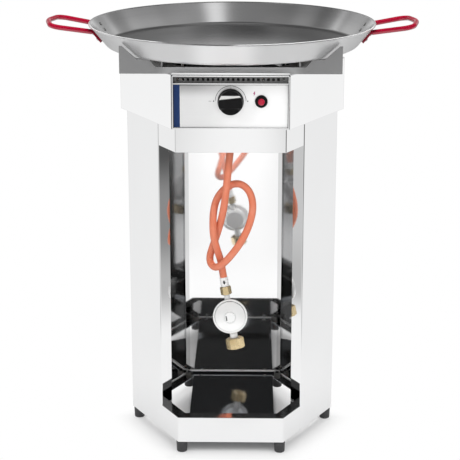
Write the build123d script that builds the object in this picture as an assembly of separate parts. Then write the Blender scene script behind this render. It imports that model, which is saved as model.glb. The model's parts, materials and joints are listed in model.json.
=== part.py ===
from build123d import *
import os
from math import cos, pi, radians, sin, sqrt, tan

# Gas burner stand for a paella pan, in millimetres.
# The origin is on the floor under the middle of the stand, +Z is up and the controls face -Y.

# Pan
PAN_RADIUS = 300.0
PAN_FLARE = 38.0
PAN_DEPTH = 47.0
PAN_SHEET = 1.5
PAN_INSIDE_BEND = 12.0
RIM_BEAD = 4.0

# Pan handles
HANDLE_ROD = 10.5
HANDLE_STANDOUT = 89.5
HANDLE_RISE = 13.0
HANDLE_HALF_WIDTH = 70.0
HANDLE_CORNER_INSET = 13.0
HANDLE_CORNER_RADIUS = 22.0
HANDLE_TIP_RADIUS = 90.0
HANDLE_TIP_BOW = 2.0
TAB_HALF_SPACING = 53.0
TAB_LENGTH = 34.0
TAB_WIDTH = 15.0
TAB_THICKNESS = 5.0
TAB_BELOW_RIM = 21.0

# Cabinet of folded sheet on a regular hexagon, measured to its corners
SHEET = 1.2
INSIDE_BEND = 1.2
CABINET_RADIUS = 224.0
CABINET_HEIGHT = 684.5
SIDE_COVER = 148.0
BASE_FRONT_HEIGHT = 56.0
LINTEL_HEIGHT = 50.0
FOOT_FLANGE = 29.0
DOOR_RETURN = 24.5
FOLD_ROUNDING = 0.8
LINTEL_RETURN = 15.0
TOP_FLANGE = 23.0
REAR_LAP = 10.0
CORNER_WRAP = 27.0
SHELF_SIDE_GAP = 18.5
SHELF_FOLD = 12.0

# Feet
FOOT_HEIGHT = 26.0
FOOT_DIAMETER = 24.0
FOOT_TAPER = 1.0
FOOT_ROUNDING = 3.0
FOOT_INSET = 15.0
STUD_DIAMETER = 8.0
STUD_LENGTH = 10.0

# Burner box
BOX_OVERHANG = 13.0
BOX_HEIGHT = 110.0
BOX_FLOOR_FLANGE = 30.0
BOX_TOP_FLANGE = 14.0
BOX_FLOOR_RING = 85.0
DECK_HOLE_RADIUS = 145.0
DECK_COLLAR = 10.0

# Control frame and panel in the front facet
FRAME_WALL = 2.0
FRAME_DEPTH = 16.0
PANEL_RECESS = 5.0
PANEL_LEDGE_DROP = 19.0
PANEL_LEDGE = 9.0
VENT_MARGIN = 5.0
VENT_PITCH = 10.0
VENT_WIDTH = 5.0
VENT_HEIGHT = 5.5
CONTROL_DROP = 53.0

# Control knob and gas valve
KNOB_SKIRT_RADIUS = 26.0
KNOB_SKIRT = 5.0
KNOB_DRUM_RADIUS = 24.0
KNOB_DRUM = 12.0
KNOB_GRIP = 11.0
KNOB_GRIP_FOOT = 30.0
KNOB_GRIP_FRONT = 16.0
KNOB_GRIP_INSET = 0.4
KNOB_STEP = 1.0
KNOB_GAP = 5.0
KNOB_PRESS = 4.0
POINTER_WIDE = 11.2
POINTER_NARROW = 3.7
POINTER_MARGIN = 1.0
POINTER_DEPTH = 2.0
STEM_DIAMETER = 8.0
STEM_HOLE_GAP = 1.0
STEM_IN_KNOB = 16.0
STEM_COLLAR_DIAMETER = 11.0
STEM_COLLAR = 3.0
PLUNGER_LENGTH = 6.0
VALVE_RADIUS = 16.0
VALVE_LENGTH = 54.0
VALVE_FLANGE_RADIUS = 20.0
VALVE_FLANGE = 4.0
BONNET = 22.0
INLET_SETBACK = 7.55
INLET_RADIUS = 9.0
OUTLET_DROP = 12.0
OUTLET_RADIUS = 8.0
OUTLET_LENGTH = 6.0
VALVE_END_BEVEL = 2.0

# Push igniter
IGNITER_X = 61.0
IGNITER_BEZEL_RADIUS = 12.5
IGNITER_BEZEL = 6.0
IGNITER_BEZEL_BEVEL = 2.0
IGNITER_BODY_RADIUS = 9.0
IGNITER_BODY_LENGTH = 38.0
BUTTON_RADIUS = 6.8
BUTTON_PROUD = 6.5
BUTTON_PRESS = 5.0
BUTTON_SHANK = 9.0
BUTTON_ROUNDING = 4.0
IGNITER_NUT_ACROSS = 26.0
IGNITER_NUT = 5.0
TERMINAL_LENGTH = 8.0
TERMINAL_WIDTH = 7.0
TERMINAL_THICKNESS = 3.0

# Ring burner
RING_RADIUS = 95.0
RING_TUBE = 11.0
RING_BEVEL = 4.5
INNER_RING_RADIUS = 46.0
INNER_RING_TUBE = 9.0
RING_ABOVE_TUBE = 2.0
ARM_COUNT = 4
ARM_RADIUS = 8.0
HUB_RADIUS = 25.0
HUB_ABOVE_ARMS = 2.0
HUB_BELOW_SOCKET = 2.0
PORT_RADIUS = 2.0
PORT_DEPTH = 5.0
OUTER_PORTS = 24
INNER_PORTS = 12
SOCKET_RADIUS = 18.0
SOCKET_REACH = 42.0
SOCKET_DEPTH = 14.0
TUBE_WALL = 1.5
TUBE_MOUTH_RADIUS = 18.0
TUBE_THROAT_RADIUS = 11.0
TUBE_END_RADIUS = 14.0
TUBE_MOUTH_LENGTH = 16.0
TUBE_THROAT_LENGTH = 12.0
INJECTOR_ACROSS = 14.0
INJECTOR_HEX = 7.0
INJECTOR_TIP_RADIUS = 4.0
INJECTOR_TIP = 12.0
INJECTOR_INSIDE = 8.0
BRACKET_STRIP = 2.0
BRACKET_WIDTH = 25.0
BRACKET_BEYOND_RING = 16.0
BRACKET_UNDER_RING = 20.0
BRACKET_ON_FLOOR = 34.0
PROBE_ANGLE = 35.0
PROBE_PLATE = 2.0
PROBE_PLATE_DEPTH = 18.0
PROBE_EDGE = 8.0
ELECTRODE_RADIUS = 4.0
ELECTRODE_TIP_RADIUS = 1.25
PROBE_RADIUS = 3.0
PROBE_TIP_RADIUS = 1.8
PROBE_BELOW = 12.0
PROBE_ABOVE = 14.5
PROBE_TIP = 12.0
LEAD_DIAMETER = 5.0
CAPILLARY_DIAMETER = 3.0

# Pan bars
BAR_THICKNESS = 3.0
BAR_EDGE_GAP = 15.65
BAR_HEIGHT = 13.5
BAR_SHOULDER = 29.0
BAR_EAR = 55.0
BAR_SHOULDER_LENGTH = 24.5
BAR_SLOPE_LENGTH = 13.0
BAR_EAR_FLAT = 5.5
BAR_PAN_GAP = 4.5
CROSS_X = 137.0
CROSS_SHOULDER_LENGTH = 47.0
CROSS_SLOPE_LENGTH = 22.0

# Gas hose and its fittings
HOSE_DIAMETER = 15.0
HOSE_BORE = 9.0
BEND_SHARE = 0.45
TAIL_ACROSS = 17.0
TAIL_NIPPLE = 17.0
TAIL_ABOVE_FLOOR = 8.0
TAIL_BELOW_FLOOR = 9.5
NUT_NIPPLE = 13.6
FERRULE_WALL = 1.0
UPPER_FERRULE = 18.0
LOWER_FERRULE = 20.0
HOSE_NUT_ACROSS = 20.0
HOSE_NUT = 17.0
NECK_RADIUS = 6.0
NECK = 10.0
REGULATOR_RADIUS = 36.0
REGULATOR_RIM = 7.0
REGULATOR_BACK_RADIUS = 26.0
REGULATOR_BACK = 16.0
REGULATOR_FORWARD = 9.0
REGULATOR_BEVEL = 1.0
REGULATOR_BACK_BEVEL = 4.0
REGULATOR_FLARE = 3.0
COVER_RADIUS = 31.8
COVER_RISE = 7.0
COVER_BOSS_RADIUS = 11.5
COVER_BOSS = 3.0
COVER_BEVEL = 1.0
COVER_EDGE = 2.0
COVER_SHOULDER_RADIUS = 23.0
COVER_SHOULDER = 5.2
COVER_FLAT_RADIUS = 14.5
OUTLET_NECK_RADIUS = 8.0
OUTLET_NECK = 12.0
UNION_ACROSS = 33.0
UNION_NUT = 22.0
UNION_STEM_RADIUS = 6.0
UNION_COLLAR_RADIUS = 10.0
UNION_COLLAR = 5.0
UNION_LID = 5.0
UNION_THREAD_RADIUS = 10.9

# Clearances
FIT = 0.3
PRESS = 0.02
RUNNING = 0.05

# Heights and places that follow from the sizes above
Z_BASE = FOOT_HEIGHT
Z_DOOR_BOTTOM = Z_BASE + BASE_FRONT_HEIGHT
Z_BOX = Z_BASE + CABINET_HEIGHT
Z_DOOR_TOP = Z_BOX - LINTEL_HEIGHT
Z_DECK = Z_BOX + BOX_HEIGHT
Z_PAN = Z_DECK + BAR_SHOULDER
Z_CONTROL = Z_DECK - CONTROL_DROP
Z_GAS = Z_CONTROL - OUTLET_DROP
Z_BURNER = Z_GAS + TUBE_MOUTH_RADIUS + RING_ABOVE_TUBE + RING_TUBE
PAN_FLOOR_RADIUS = PAN_RADIUS - PAN_FLARE
HANDLE_REACH = PAN_RADIUS + HANDLE_STANDOUT
BOX_RADIUS = CABINET_RADIUS + BOX_OVERHANG
CABINET_FLAT = CABINET_RADIUS * cos(radians(30))
BOX_FLAT = BOX_RADIUS * cos(radians(30))
BAR_Y = BOX_FLAT - BAR_EDGE_GAP
PANEL_FRONT = -BOX_FLAT + PANEL_RECESS
PANEL_BACK = PANEL_FRONT + SHEET
VALVE_END = PANEL_BACK + VALVE_LENGTH
OUTLET_END = VALVE_END + OUTLET_LENGTH
INLET_Y = VALVE_END - INLET_SETBACK

# Route of the gas hose from its top end: down through an overhand knot to the regulator
HOSE_TOP = (0, INLET_Y, Z_BOX - TAIL_BELOW_FLOOR)
HOSE_BENDS = [
    (0, 0, 0), (0, 0, -36), (-5, -3, -76), (-7, -10.5, -100), (-10.5, -17, -130.5), (-14.5, -17, -164.5),
    (-22.5, -9.5, -200.5), (-32, -2, -233), (-39.5, 2, -255.5), (-44.5, -2, -272.5), (-42.5, -12.5, -284.5),
    (-32, -24.5, -290), (-16.5, -34, -279), (3, -37, -256.5), (23, -33, -228.5), (38, -22.5, -198.5),
    (45.5, -10.5, -170), (44, -2, -146.5), (35, 4, -127.5), (18.5, 8.5, -117), (-1, 11.5, -120),
    (-17.5, 10.5, -133), (-30, 5.5, -149.5), (-36, -6.5, -171), (-37, -18, -194), (-36, -23.5, -221),
    (-29, -18, -251), (-21, -7.5, -278), (-17, -5.5, -307), (-12, -9.5, -335),
]
HOSE_ROUTE = [tuple(start + step for start, step in zip(HOSE_TOP, bend)) for bend in HOSE_BENDS]


# Helpers for folded sheet

def corner(index, radius, inset=0.0):
    """Hexagon corner, counted anticlockwise from +X, with the sides moved in by an inset."""
    angle = radians(60 * index)
    reach = radius - inset / cos(radians(30))
    return Vector(reach * cos(angle), reach * sin(angle))


def left_of(direction):
    return Vector(-direction.Y, direction.X)


def directions(points):
    return [(end - start).normalized() for start, end in zip(points, points[1:])]


def offset_path(points, distance):
    """Open path moved to its left by a distance, with mitred corners."""
    sides = [left_of(direction) for direction in directions(points)]
    moved = [points[0] + sides[0] * distance]
    for point, before, after in zip(points[1:], sides, sides[1:]):
        moved.append(point + (before + after) * (distance / (1 + before.dot(after))))
    moved.append(points[-1] + sides[-1] * distance)
    return moved


def folded_face(points, thickness, inside_bend):
    """Face of a sheet folded along a path, with its thickness on the left of the path."""
    steps = directions(points)
    turns_left = [left_of(before).dot(after) > 0 for before, after in zip(steps, steps[1:])]
    outside_bend = inside_bend + thickness
    right_radii = [outside_bend if left else inside_bend for left in turns_left]
    left_radii = [inside_bend if left else outside_bend for left in turns_left]
    inner = offset_path(points, thickness)
    outline = [
        FilletPolyline(*points, radius=right_radii),
        Line(points[-1], inner[-1]),
        FilletPolyline(*inner, radius=left_radii),
        Line(points[0], inner[0]),
    ]
    return make_face(Curve() + outline)


def upright(face, z, height):
    """A flat face on the ground plane raised to z and extruded upwards."""
    return extrude(Pos(0, 0, z) * face, amount=height, dir=(0, 0, 1))


def flat_plate(points, z, thickness=SHEET):
    return upright(make_face(Polyline(*points, close=True)), z, thickness)


def round_bar(radius, z, height, x=0.0, y=0.0):
    """Upright cylinder from z upwards."""
    return Pos(x, y, z) * Cylinder(radius, height, align=(Align.CENTER, Align.CENTER, Align.MIN))


def front_place(x, y, z):
    """Place whose local Z points out of the front, towards -Y."""
    return Plane((x, y, z), x_dir=(1, 0, 0), z_dir=(0, -1, 0))


def front_bar(radius, x, y_back, y_front, z):
    """Cylinder along Y from its back end to its front end."""
    place = front_place(x, y_back, z)
    return place * Cylinder(radius, y_back - y_front, align=(Align.CENTER, Align.CENTER, Align.MIN))


def hexagon_bar(across, length, bore=0.0):
    """Hexagon bar upwards from the origin, with its corners eased and an optional bore."""
    face_radius = across / 2 - FIT
    corner_radius = across / sqrt(3) + FIT
    ease = (corner_radius - face_radius) * tan(radians(30))
    easing = turned([(0, 0), (face_radius, 0), (corner_radius, ease), (corner_radius, length - ease),
                     (face_radius, length), (0, length)])
    bar = extrude(RegularPolygon(across / sqrt(3), 6), amount=length) & easing
    if bore:
        bar -= Cylinder(bore, 3 * length)
    return bar


def sleeve(outer, inner, length):
    """Tube upwards from the origin."""
    return extrude(Circle(outer) - Circle(inner), amount=length)


def turned(points):
    """Solid of revolution about Z from (radius, height) points."""
    return revolve(Plane.XZ * make_face(Polyline(*points, close=True)), axis=Axis.Z)


def mirrored(shape):
    return mirror(shape, about=Plane.YZ)


# Cabinet

def seam(side):
    """Where a side panel stops on its front diagonal facet; side is -1 for left and 1 for right."""
    tip = Vector(side * CABINET_RADIUS, 0)
    front = Vector(side * CABINET_RADIUS / 2, -CABINET_FLAT)
    return tip + (front - tip).normalized() * SIDE_COVER


def seam_inward(side):
    return Vector(-side * cos(radians(30)), sin(radians(30)))


def foot_place(index):
    return corner(index, CABINET_RADIUS - FOOT_INSET)


def stud_hole(index):
    place = foot_place(index)
    return Pos(place.X, place.Y, Z_BASE) * Cylinder(STUD_DIAMETER / 2 + FIT, 8 * SHEET)


def side_flange(width, z):
    """Inward flange of the left side panel, round its rear corner to beside the back panel."""
    half = SHEET / 2
    lap_line = CABINET_FLAT - SHEET
    rear = corner(2, CABINET_RADIUS)
    outside_x = -CABINET_RADIUS + (half + lap_line / 2) / cos(radians(30))
    return flat_plate([
        seam(-1) + seam_inward(-1) * half,
        corner(3, CABINET_RADIUS, half),
        Vector(outside_x, lap_line),
        Vector(rear.X + CORNER_WRAP, lap_line),
        Vector(rear.X + CORNER_WRAP, CABINET_FLAT - width),
        corner(2, CABINET_RADIUS, width),
        corner(3, CABINET_RADIUS, width),
        seam(-1) + seam_inward(-1) * width,
    ], z)


def side_panel():
    """Left side panel: rear lap, two facets and the return beside the door opening."""
    lap_line = CABINET_FLAT - SHEET
    rear = Vector(-CABINET_RADIUS / 2 - SHEET * tan(radians(30)), lap_line)
    path = [
        rear + Vector(REAR_LAP, 0),
        rear,
        corner(3, CABINET_RADIUS),
        seam(-1),
        seam(-1) + seam_inward(-1) * DOOR_RETURN,
    ]
    panel = upright(folded_face(path, SHEET, INSIDE_BEND), Z_BASE, CABINET_HEIGHT)
    panel += side_flange(FOOT_FLANGE, Z_BASE)
    panel += side_flange(TOP_FLANGE, Z_BOX - SHEET)
    return panel - stud_hole(3) - stud_hole(2)


def front_flange(width, z):
    outside = [seam(-1) + seam_inward(-1) * SHEET, corner(4, CABINET_RADIUS, SHEET),
               corner(5, CABINET_RADIUS, SHEET), seam(1) + seam_inward(1) * SHEET]
    inside = [seam(1) + seam_inward(1) * width, corner(5, CABINET_RADIUS, width),
              corner(4, CABINET_RADIUS, width), seam(-1) + seam_inward(-1) * width]
    return flat_plate(outside + inside, z)


def front_band(z, height, lower_flange, upper_flange, fold_z):
    """Channel across the front facet and round both front corners to the seams, rounded at one fold."""
    path = [
        seam(-1) + seam_inward(-1) * min(lower_flange, upper_flange),
        seam(-1),
        corner(4, CABINET_RADIUS),
        corner(5, CABINET_RADIUS),
        seam(1),
        seam(1) + seam_inward(1) * min(lower_flange, upper_flange),
    ]
    band = upright(folded_face(path, SHEET, INSIDE_BEND), z, height)
    level = band.edges().filter_by(Axis.X).filter_by_position(Axis.Z, fold_z - FIT, fold_z + FIT)
    band = fillet(level.sort_by(Axis.Y)[0], FOLD_ROUNDING)
    band += front_flange(lower_flange, z)
    return band + front_flange(upper_flange, z + height - SHEET)


def base_front_panel():
    band = front_band(Z_BASE, BASE_FRONT_HEIGHT, FOOT_FLANGE, DOOR_RETURN, Z_DOOR_BOTTOM)
    return band - stud_hole(4) - stud_hole(5)


def front_lintel():
    return front_band(Z_DOOR_TOP, LINTEL_HEIGHT, LINTEL_RETURN, TOP_FLANGE, Z_DOOR_TOP)


def back_panel():
    """Rear facet, outside the laps of the side panels, with a flange at its foot and top."""
    half = CABINET_RADIUS / 2 - SHEET - FIT
    flange_half = CABINET_RADIUS / 2 - CORNER_WRAP - FIT
    inside = CABINET_FLAT - SHEET
    panel = flat_plate([(-half, inside), (half, inside), (half, CABINET_FLAT), (-half, CABINET_FLAT)],
                       Z_BASE, CABINET_HEIGHT)
    for width, z in ((FOOT_FLANGE, Z_BASE), (TOP_FLANGE, Z_BOX - SHEET)):
        edge = CABINET_FLAT - width
        panel += flat_plate([(-flange_half, edge), (flange_half, edge),
                             (flange_half, CABINET_FLAT), (-flange_half, CABINET_FLAT)], z)
    return panel


def bottle_shelf():
    """Strip from the front flange to the rear flange, stiffened by a fold down each long edge."""
    half = CABINET_RADIUS / 2 - SHELF_SIDE_GAP
    end = CABINET_FLAT - 2 * SHEET - FIT
    opening_side = sqrt(3) * (corner(0, CABINET_RADIUS, FOOT_FLANGE).X - half)
    fold_end = min(CABINET_FLAT - FOOT_FLANGE, opening_side) - FIT
    top = Z_BASE + SHEET
    shelf = flat_plate([(-half, -end), (half, -end), (half, end), (-half, end)], top)
    for side in (-1, 1):
        outside = side * half
        inside = side * (half - SHEET)
        fold = [(outside, -fold_end), (inside, -fold_end), (inside, fold_end), (outside, fold_end)]
        shelf += flat_plate(fold, top + SHEET - SHELF_FOLD, SHELF_FOLD)
    for index in (1, 2, 4, 5):
        shelf -= stud_hole(index)
    return shelf


def foot(index):
    """Rubber foot with a stud through the base flange."""
    place = foot_place(index)
    top = FOOT_DIAMETER / 2
    outline = Polyline((0, 0), (top - FOOT_TAPER, 0), (top, FOOT_HEIGHT), (0, FOOT_HEIGHT), close=True)
    profile = make_face(outline)
    profile = fillet(profile.vertices().sort_by(Axis.Y)[0:2].sort_by(Axis.X)[-1], FOOT_ROUNDING)
    pad = revolve(Plane.XZ * profile, axis=Axis.Z)
    return Pos(place.X, place.Y, 0) * (pad + round_bar(STUD_DIAMETER / 2, FOOT_HEIGHT, SHEET + STUD_LENGTH))


# Burner box

def hexagon_points(radius, inset=0.0):
    return [corner(index, radius, inset) for index in range(6)]


def box_flange(width, z):
    """Inward flange on the five closed facets, open at the front."""
    order = [5, 0, 1, 2, 3, 4]
    outside = [corner(index, BOX_RADIUS, SHEET / 2) for index in order]
    inside = [corner(index, BOX_RADIUS, width) for index in reversed(order)]
    return flat_plate(outside + inside, z)


def burner_box_wall():
    """Wall round five facets of the burner box."""
    path = [corner(index, BOX_RADIUS) for index in (5, 0, 1, 2, 3, 4)]
    bottom = Z_BOX + SHEET
    wall = upright(folded_face(path, SHEET, INSIDE_BEND), bottom, BOX_HEIGHT - 2 * SHEET)
    wall += box_flange(BOX_FLOOR_FLANGE, bottom)
    wall += box_flange(BOX_TOP_FLANGE, Z_DECK - 2 * SHEET)
    frame_room = Box(2 * (frame_half_width() + FIT), 2 * (FRAME_DEPTH + FIT), 2 * BOX_HEIGHT)
    return wall - Pos(0, -BOX_FLAT, Z_BOX) * frame_room


def burner_box_floor():
    """Floor ring between cabinet and burner box, open in the middle for air."""
    ring = flat_plate(hexagon_points(BOX_RADIUS), Z_BOX)
    ring -= flat_plate(hexagon_points(BOX_RADIUS, BOX_FLOOR_RING), Z_BOX)
    tail_hole = TAIL_ACROSS / sqrt(3) + 2 * FIT
    return ring - Pos(0, INLET_Y, Z_BOX) * Cylinder(tail_hole, 4 * SHEET)


def burner_deck():
    """Top plate with a round hole and a turned-down collar over the burner."""
    deck = flat_plate(hexagon_points(BOX_RADIUS), Z_DECK - SHEET)
    deck -= Pos(0, 0, Z_DECK) * Cylinder(DECK_HOLE_RADIUS, 4 * SHEET)
    collar = sleeve(DECK_HOLE_RADIUS + SHEET, DECK_HOLE_RADIUS, DECK_COLLAR)
    return deck + Pos(0, 0, Z_DECK - DECK_COLLAR) * collar


def frame_half_width():
    return BOX_RADIUS / 2 - SHEET / cos(radians(30)) - FIT


def control_frame():
    """Rectangular surround that lines the opening in the front facet."""
    width = 2 * frame_half_width()
    height = BOX_HEIGHT - 2 * SHEET
    outline = Rectangle(width, height) - Rectangle(width - 2 * FRAME_WALL, height - 2 * FRAME_WALL)
    middle = Z_BOX + BOX_HEIGHT / 2
    return extrude(front_place(0, -BOX_FLAT + FRAME_DEPTH, middle) * outline, amount=FRAME_DEPTH)


def control_panel():
    """Folded plate: control face, ledge, and a vented strip set back above it."""
    half = frame_half_width() - FRAME_WALL - FIT
    foot_z = Z_BOX + SHEET + FRAME_WALL
    ledge_z = Z_DECK - PANEL_LEDGE_DROP
    top_z = Z_DECK - SHEET - FRAME_WALL
    vent_y = PANEL_FRONT + PANEL_LEDGE
    path = [Vector(vent_y, top_z), Vector(vent_y, ledge_z), Vector(PANEL_FRONT, ledge_z),
            Vector(PANEL_FRONT, foot_z)]
    panel = extrude(Plane.YZ * folded_face(path, SHEET, INSIDE_BEND), amount=half, both=True)
    vent_z = (ledge_z + top_z) / 2
    vent = front_place(0, vent_y, vent_z) * Box(VENT_WIDTH, VENT_HEIGHT, 4 * SHEET)
    vent_steps = int((2 * half - 2 * VENT_MARGIN - VENT_WIDTH) / VENT_PITCH)
    first = -VENT_PITCH * vent_steps / 2
    panel -= [Pos(first + VENT_PITCH * index, 0, 0) * vent for index in range(vent_steps + 1)]
    for x, radius in ((0, STEM_DIAMETER / 2 + STEM_HOLE_GAP), (IGNITER_X, IGNITER_BODY_RADIUS + FIT)):
        panel -= front_bar(radius, x, PANEL_BACK + SHEET, PANEL_FRONT - SHEET, Z_CONTROL)
    return panel


# Control knob and valve

def knob_place():
    return front_place(0, PANEL_FRONT - KNOB_GAP, Z_CONTROL)


def drum_top():
    return KNOB_SKIRT + KNOB_DRUM


def grip_bounds():
    """Round body that the grip and its pointer end on."""
    return round_bar(KNOB_DRUM_RADIUS - KNOB_GRIP_INSET, drum_top(), KNOB_GRIP)


def knob_grip():
    """Bar across the knob's face with sloping flanks."""
    foot = KNOB_GRIP_FOOT / 2
    front = KNOB_GRIP_FRONT / 2
    outline = Polyline((-foot, 0), (foot, 0), (front, KNOB_GRIP), (-front, KNOB_GRIP), close=True)
    place = Plane((0, 0, drum_top()), x_dir=(0, 1, 0), z_dir=(1, 0, 0))
    return extrude(place * make_face(outline), amount=KNOB_DRUM_RADIUS, both=True) & grip_bounds()


def knob_inlay(grow=0.0):
    """Wedge along the grip's upper flank, wide at its left end and half sunk in the flank."""
    run = (KNOB_GRIP_FOOT - KNOB_GRIP_FRONT) / 2
    middle = (KNOB_GRIP_FOOT + KNOB_GRIP_FRONT) / 4
    place = Plane((0, middle, drum_top() + KNOB_GRIP / 2), x_dir=(1, 0, 0),
                  z_dir=Vector(0, KNOB_GRIP, run).normalized())
    end = KNOB_DRUM_RADIUS
    edge = sqrt(KNOB_GRIP ** 2 + run ** 2) / 2 - POINTER_MARGIN
    narrow = edge - POINTER_NARROW - grow
    wide = edge - POINTER_WIDE - grow
    outline = Polyline((-end, edge + grow), (end, edge + grow), (end, narrow), (-end, wide), close=True)
    return extrude(place * make_face(outline), amount=POINTER_DEPTH / 2 + grow, both=True)


def control_knob():
    """Skirted knob with a grip bar across its face, bored for the stem and grooved for the pointer."""
    knob = turned([
        (0, 0), (KNOB_SKIRT_RADIUS, 0), (KNOB_SKIRT_RADIUS, KNOB_SKIRT / 2),
        (KNOB_DRUM_RADIUS + KNOB_STEP, KNOB_SKIRT), (KNOB_DRUM_RADIUS, drum_top()), (0, drum_top())])
    knob += knob_grip()
    knob -= knob_inlay(PRESS)
    knob -= round_bar(STEM_DIAMETER / 2 + PRESS, 0, STEM_IN_KNOB)
    return knob_place() * knob


def knob_pointer():
    """Bright tapered inlay along the grip."""
    return knob_place() * (knob_inlay() & grip_bounds())


def chamber_front():
    return PANEL_BACK + BONNET


def chamber_length():
    return STEM_COLLAR + PLUNGER_LENGTH + KNOB_PRESS + FIT


def valve_stem():
    """Stem from the knob through the valve's bonnet, with a collar inside the chamber."""
    front = PANEL_FRONT - KNOB_GAP - STEM_IN_KNOB
    collar_back = chamber_front() + STEM_COLLAR
    stem = front_bar(STEM_DIAMETER / 2, 0, collar_back, front, Z_CONTROL)
    return stem + front_bar(STEM_COLLAR_DIAMETER / 2, 0, collar_back, chamber_front(), Z_CONTROL)


def valve_plunger():
    """Sprung plunger that the stem presses on."""
    front = chamber_front() + STEM_COLLAR
    return front_bar(STEM_COLLAR_DIAMETER / 2, 0, front + PLUNGER_LENGTH, front, Z_CONTROL)


def valve_body():
    """Gas tap: flange on the panel, barrel, inlet boss below and outlet boss behind."""
    body = front_bar(VALVE_FLANGE_RADIUS, 0, PANEL_BACK + VALVE_FLANGE, PANEL_BACK, Z_CONTROL)
    body += front_bar(VALVE_RADIUS, 0, VALVE_END, PANEL_BACK, Z_CONTROL)
    body = chamfer(body.edges().filter_by(GeomType.CIRCLE).sort_by(Axis.Y)[-1], VALVE_END_BEVEL)
    boss_z = tail_top()
    body += round_bar(INLET_RADIUS, boss_z, Z_CONTROL - boss_z, 0, INLET_Y)
    body += front_bar(OUTLET_RADIUS, 0, OUTLET_END, INLET_Y, Z_GAS)
    body -= front_bar(STEM_DIAMETER / 2 + RUNNING, 0, chamber_front() + SHEET, PANEL_BACK - SHEET, Z_CONTROL)
    chamber_back = chamber_front() + chamber_length()
    return body - front_bar(STEM_COLLAR_DIAMETER / 2 + RUNNING, 0, chamber_back, chamber_front(), Z_CONTROL)


# Push igniter

def igniter_place():
    return front_place(IGNITER_X, PANEL_FRONT, Z_CONTROL)


def igniter_body():
    """Bezel, shank through the panel and a terminal behind."""
    body = turned([
        (0, 0), (IGNITER_BEZEL_RADIUS, 0), (IGNITER_BEZEL_RADIUS, IGNITER_BEZEL - IGNITER_BEZEL_BEVEL),
        (IGNITER_BEZEL_RADIUS - IGNITER_BEZEL_BEVEL, IGNITER_BEZEL), (0, IGNITER_BEZEL)])
    body += round_bar(IGNITER_BODY_RADIUS, -IGNITER_BODY_LENGTH, IGNITER_BODY_LENGTH)
    body += Pos(0, 0, -IGNITER_BODY_LENGTH) * Box(
        TERMINAL_WIDTH, TERMINAL_THICKNESS, TERMINAL_LENGTH, align=(Align.CENTER, Align.CENTER, Align.MAX))
    depth = BUTTON_SHANK + BUTTON_PRESS + FIT
    body -= round_bar(BUTTON_RADIUS + FIT, IGNITER_BEZEL - depth, 2 * depth)
    return igniter_place() * body


def igniter_button():
    """Domed push cap."""
    height = BUTTON_SHANK + BUTTON_PROUD
    outline = Polyline((0, 0), (BUTTON_RADIUS, 0), (BUTTON_RADIUS, height), (0, height), close=True)
    edge = make_face(outline).vertices().sort_by(Axis.Y)[-2:].sort_by(Axis.X)[-1]
    cap = revolve(Plane.XZ * fillet(edge, BUTTON_ROUNDING), axis=Axis.Z)
    return igniter_place() * (Pos(0, 0, IGNITER_BEZEL - BUTTON_SHANK) * cap)


def igniter_nut():
    """Nut that clamps the igniter from behind the panel."""
    nut = hexagon_bar(IGNITER_NUT_ACROSS, IGNITER_NUT, IGNITER_BODY_RADIUS + FIT)
    return front_place(IGNITER_X, PANEL_BACK + IGNITER_NUT, Z_CONTROL) * nut


def igniter_lead():
    """Insulated lead from the igniter's terminal to the electrode."""
    x, y = probe_place(1)
    start = PANEL_FRONT + IGNITER_BODY_LENGTH + TERMINAL_LENGTH
    foot_z = probe_foot()
    route = [(IGNITER_X, start, Z_CONTROL), (IGNITER_X, start + 14, Z_CONTROL),
             (IGNITER_X, start + 26, foot_z - 26), (x, y - 8, foot_z - 32),
             (x, y, foot_z - 18), (x, y, foot_z)]
    return hose_along(route, LEAD_DIAMETER / 2)


# Ring burner

def probe_place(side):
    """Centre of the upright probes beside the outer ring; side 1 is right and -1 left."""
    reach = RING_RADIUS + RING_TUBE + ELECTRODE_RADIUS + FIT
    angle = radians(90 - PROBE_ANGLE)
    return side * reach * cos(angle), -reach * sin(angle)


def ring_bottom():
    return Z_BURNER - RING_TUBE


def probe_foot():
    return ring_bottom() - PROBE_PLATE - PROBE_BELOW


def ring_ports(radius, tube, count):
    drill = round_bar(PORT_RADIUS, tube - PORT_DEPTH, 2 * PORT_DEPTH)
    return [place * drill for place in PolarLocations(radius, count)]


def burner_ring(radius, half):
    """Cast ring with a flat base and a narrower flat top that takes the ports."""
    shoulder = half - RING_BEVEL
    section = make_face(Polyline((-half, -half), (half, -half), (half, shoulder), (shoulder, half),
                                 (-shoulder, half), (-half, shoulder), close=True))
    return revolve(Plane.XZ * (Pos(radius, 0) * section), axis=Axis.Z)


def ring_burner():
    """Two ported rings on four arms from the hub, built around the origin and then raised."""
    burner = burner_ring(RING_RADIUS, RING_TUBE)
    burner += burner_ring(INNER_RING_RADIUS, INNER_RING_TUBE)
    for index in range(ARM_COUNT):
        turn = Rot(0, 0, 360 / ARM_COUNT * (index + 0.5))
        arm = Rot(0, 90, 0) * Cylinder(ARM_RADIUS, RING_RADIUS, align=(Align.CENTER, Align.CENTER, Align.MIN))
        burner += turn * arm
    gas = Z_GAS - Z_BURNER
    hub_foot = gas - SOCKET_RADIUS - HUB_BELOW_SOCKET
    hub_top = ARM_RADIUS + HUB_ABOVE_ARMS
    burner += round_bar(HUB_RADIUS, hub_foot, hub_top - hub_foot)
    burner += front_bar(SOCKET_RADIUS, 0, 0, -SOCKET_REACH, gas)
    burner -= front_bar(TUBE_END_RADIUS + FIT, 0, SOCKET_DEPTH - SOCKET_REACH, -2 * SOCKET_REACH, gas)
    burner -= ring_ports(RING_RADIUS, RING_TUBE, OUTER_PORTS)
    burner -= ring_ports(INNER_RING_RADIUS, INNER_RING_TUBE, INNER_PORTS)
    return Pos(0, 0, Z_BURNER) * burner


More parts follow.
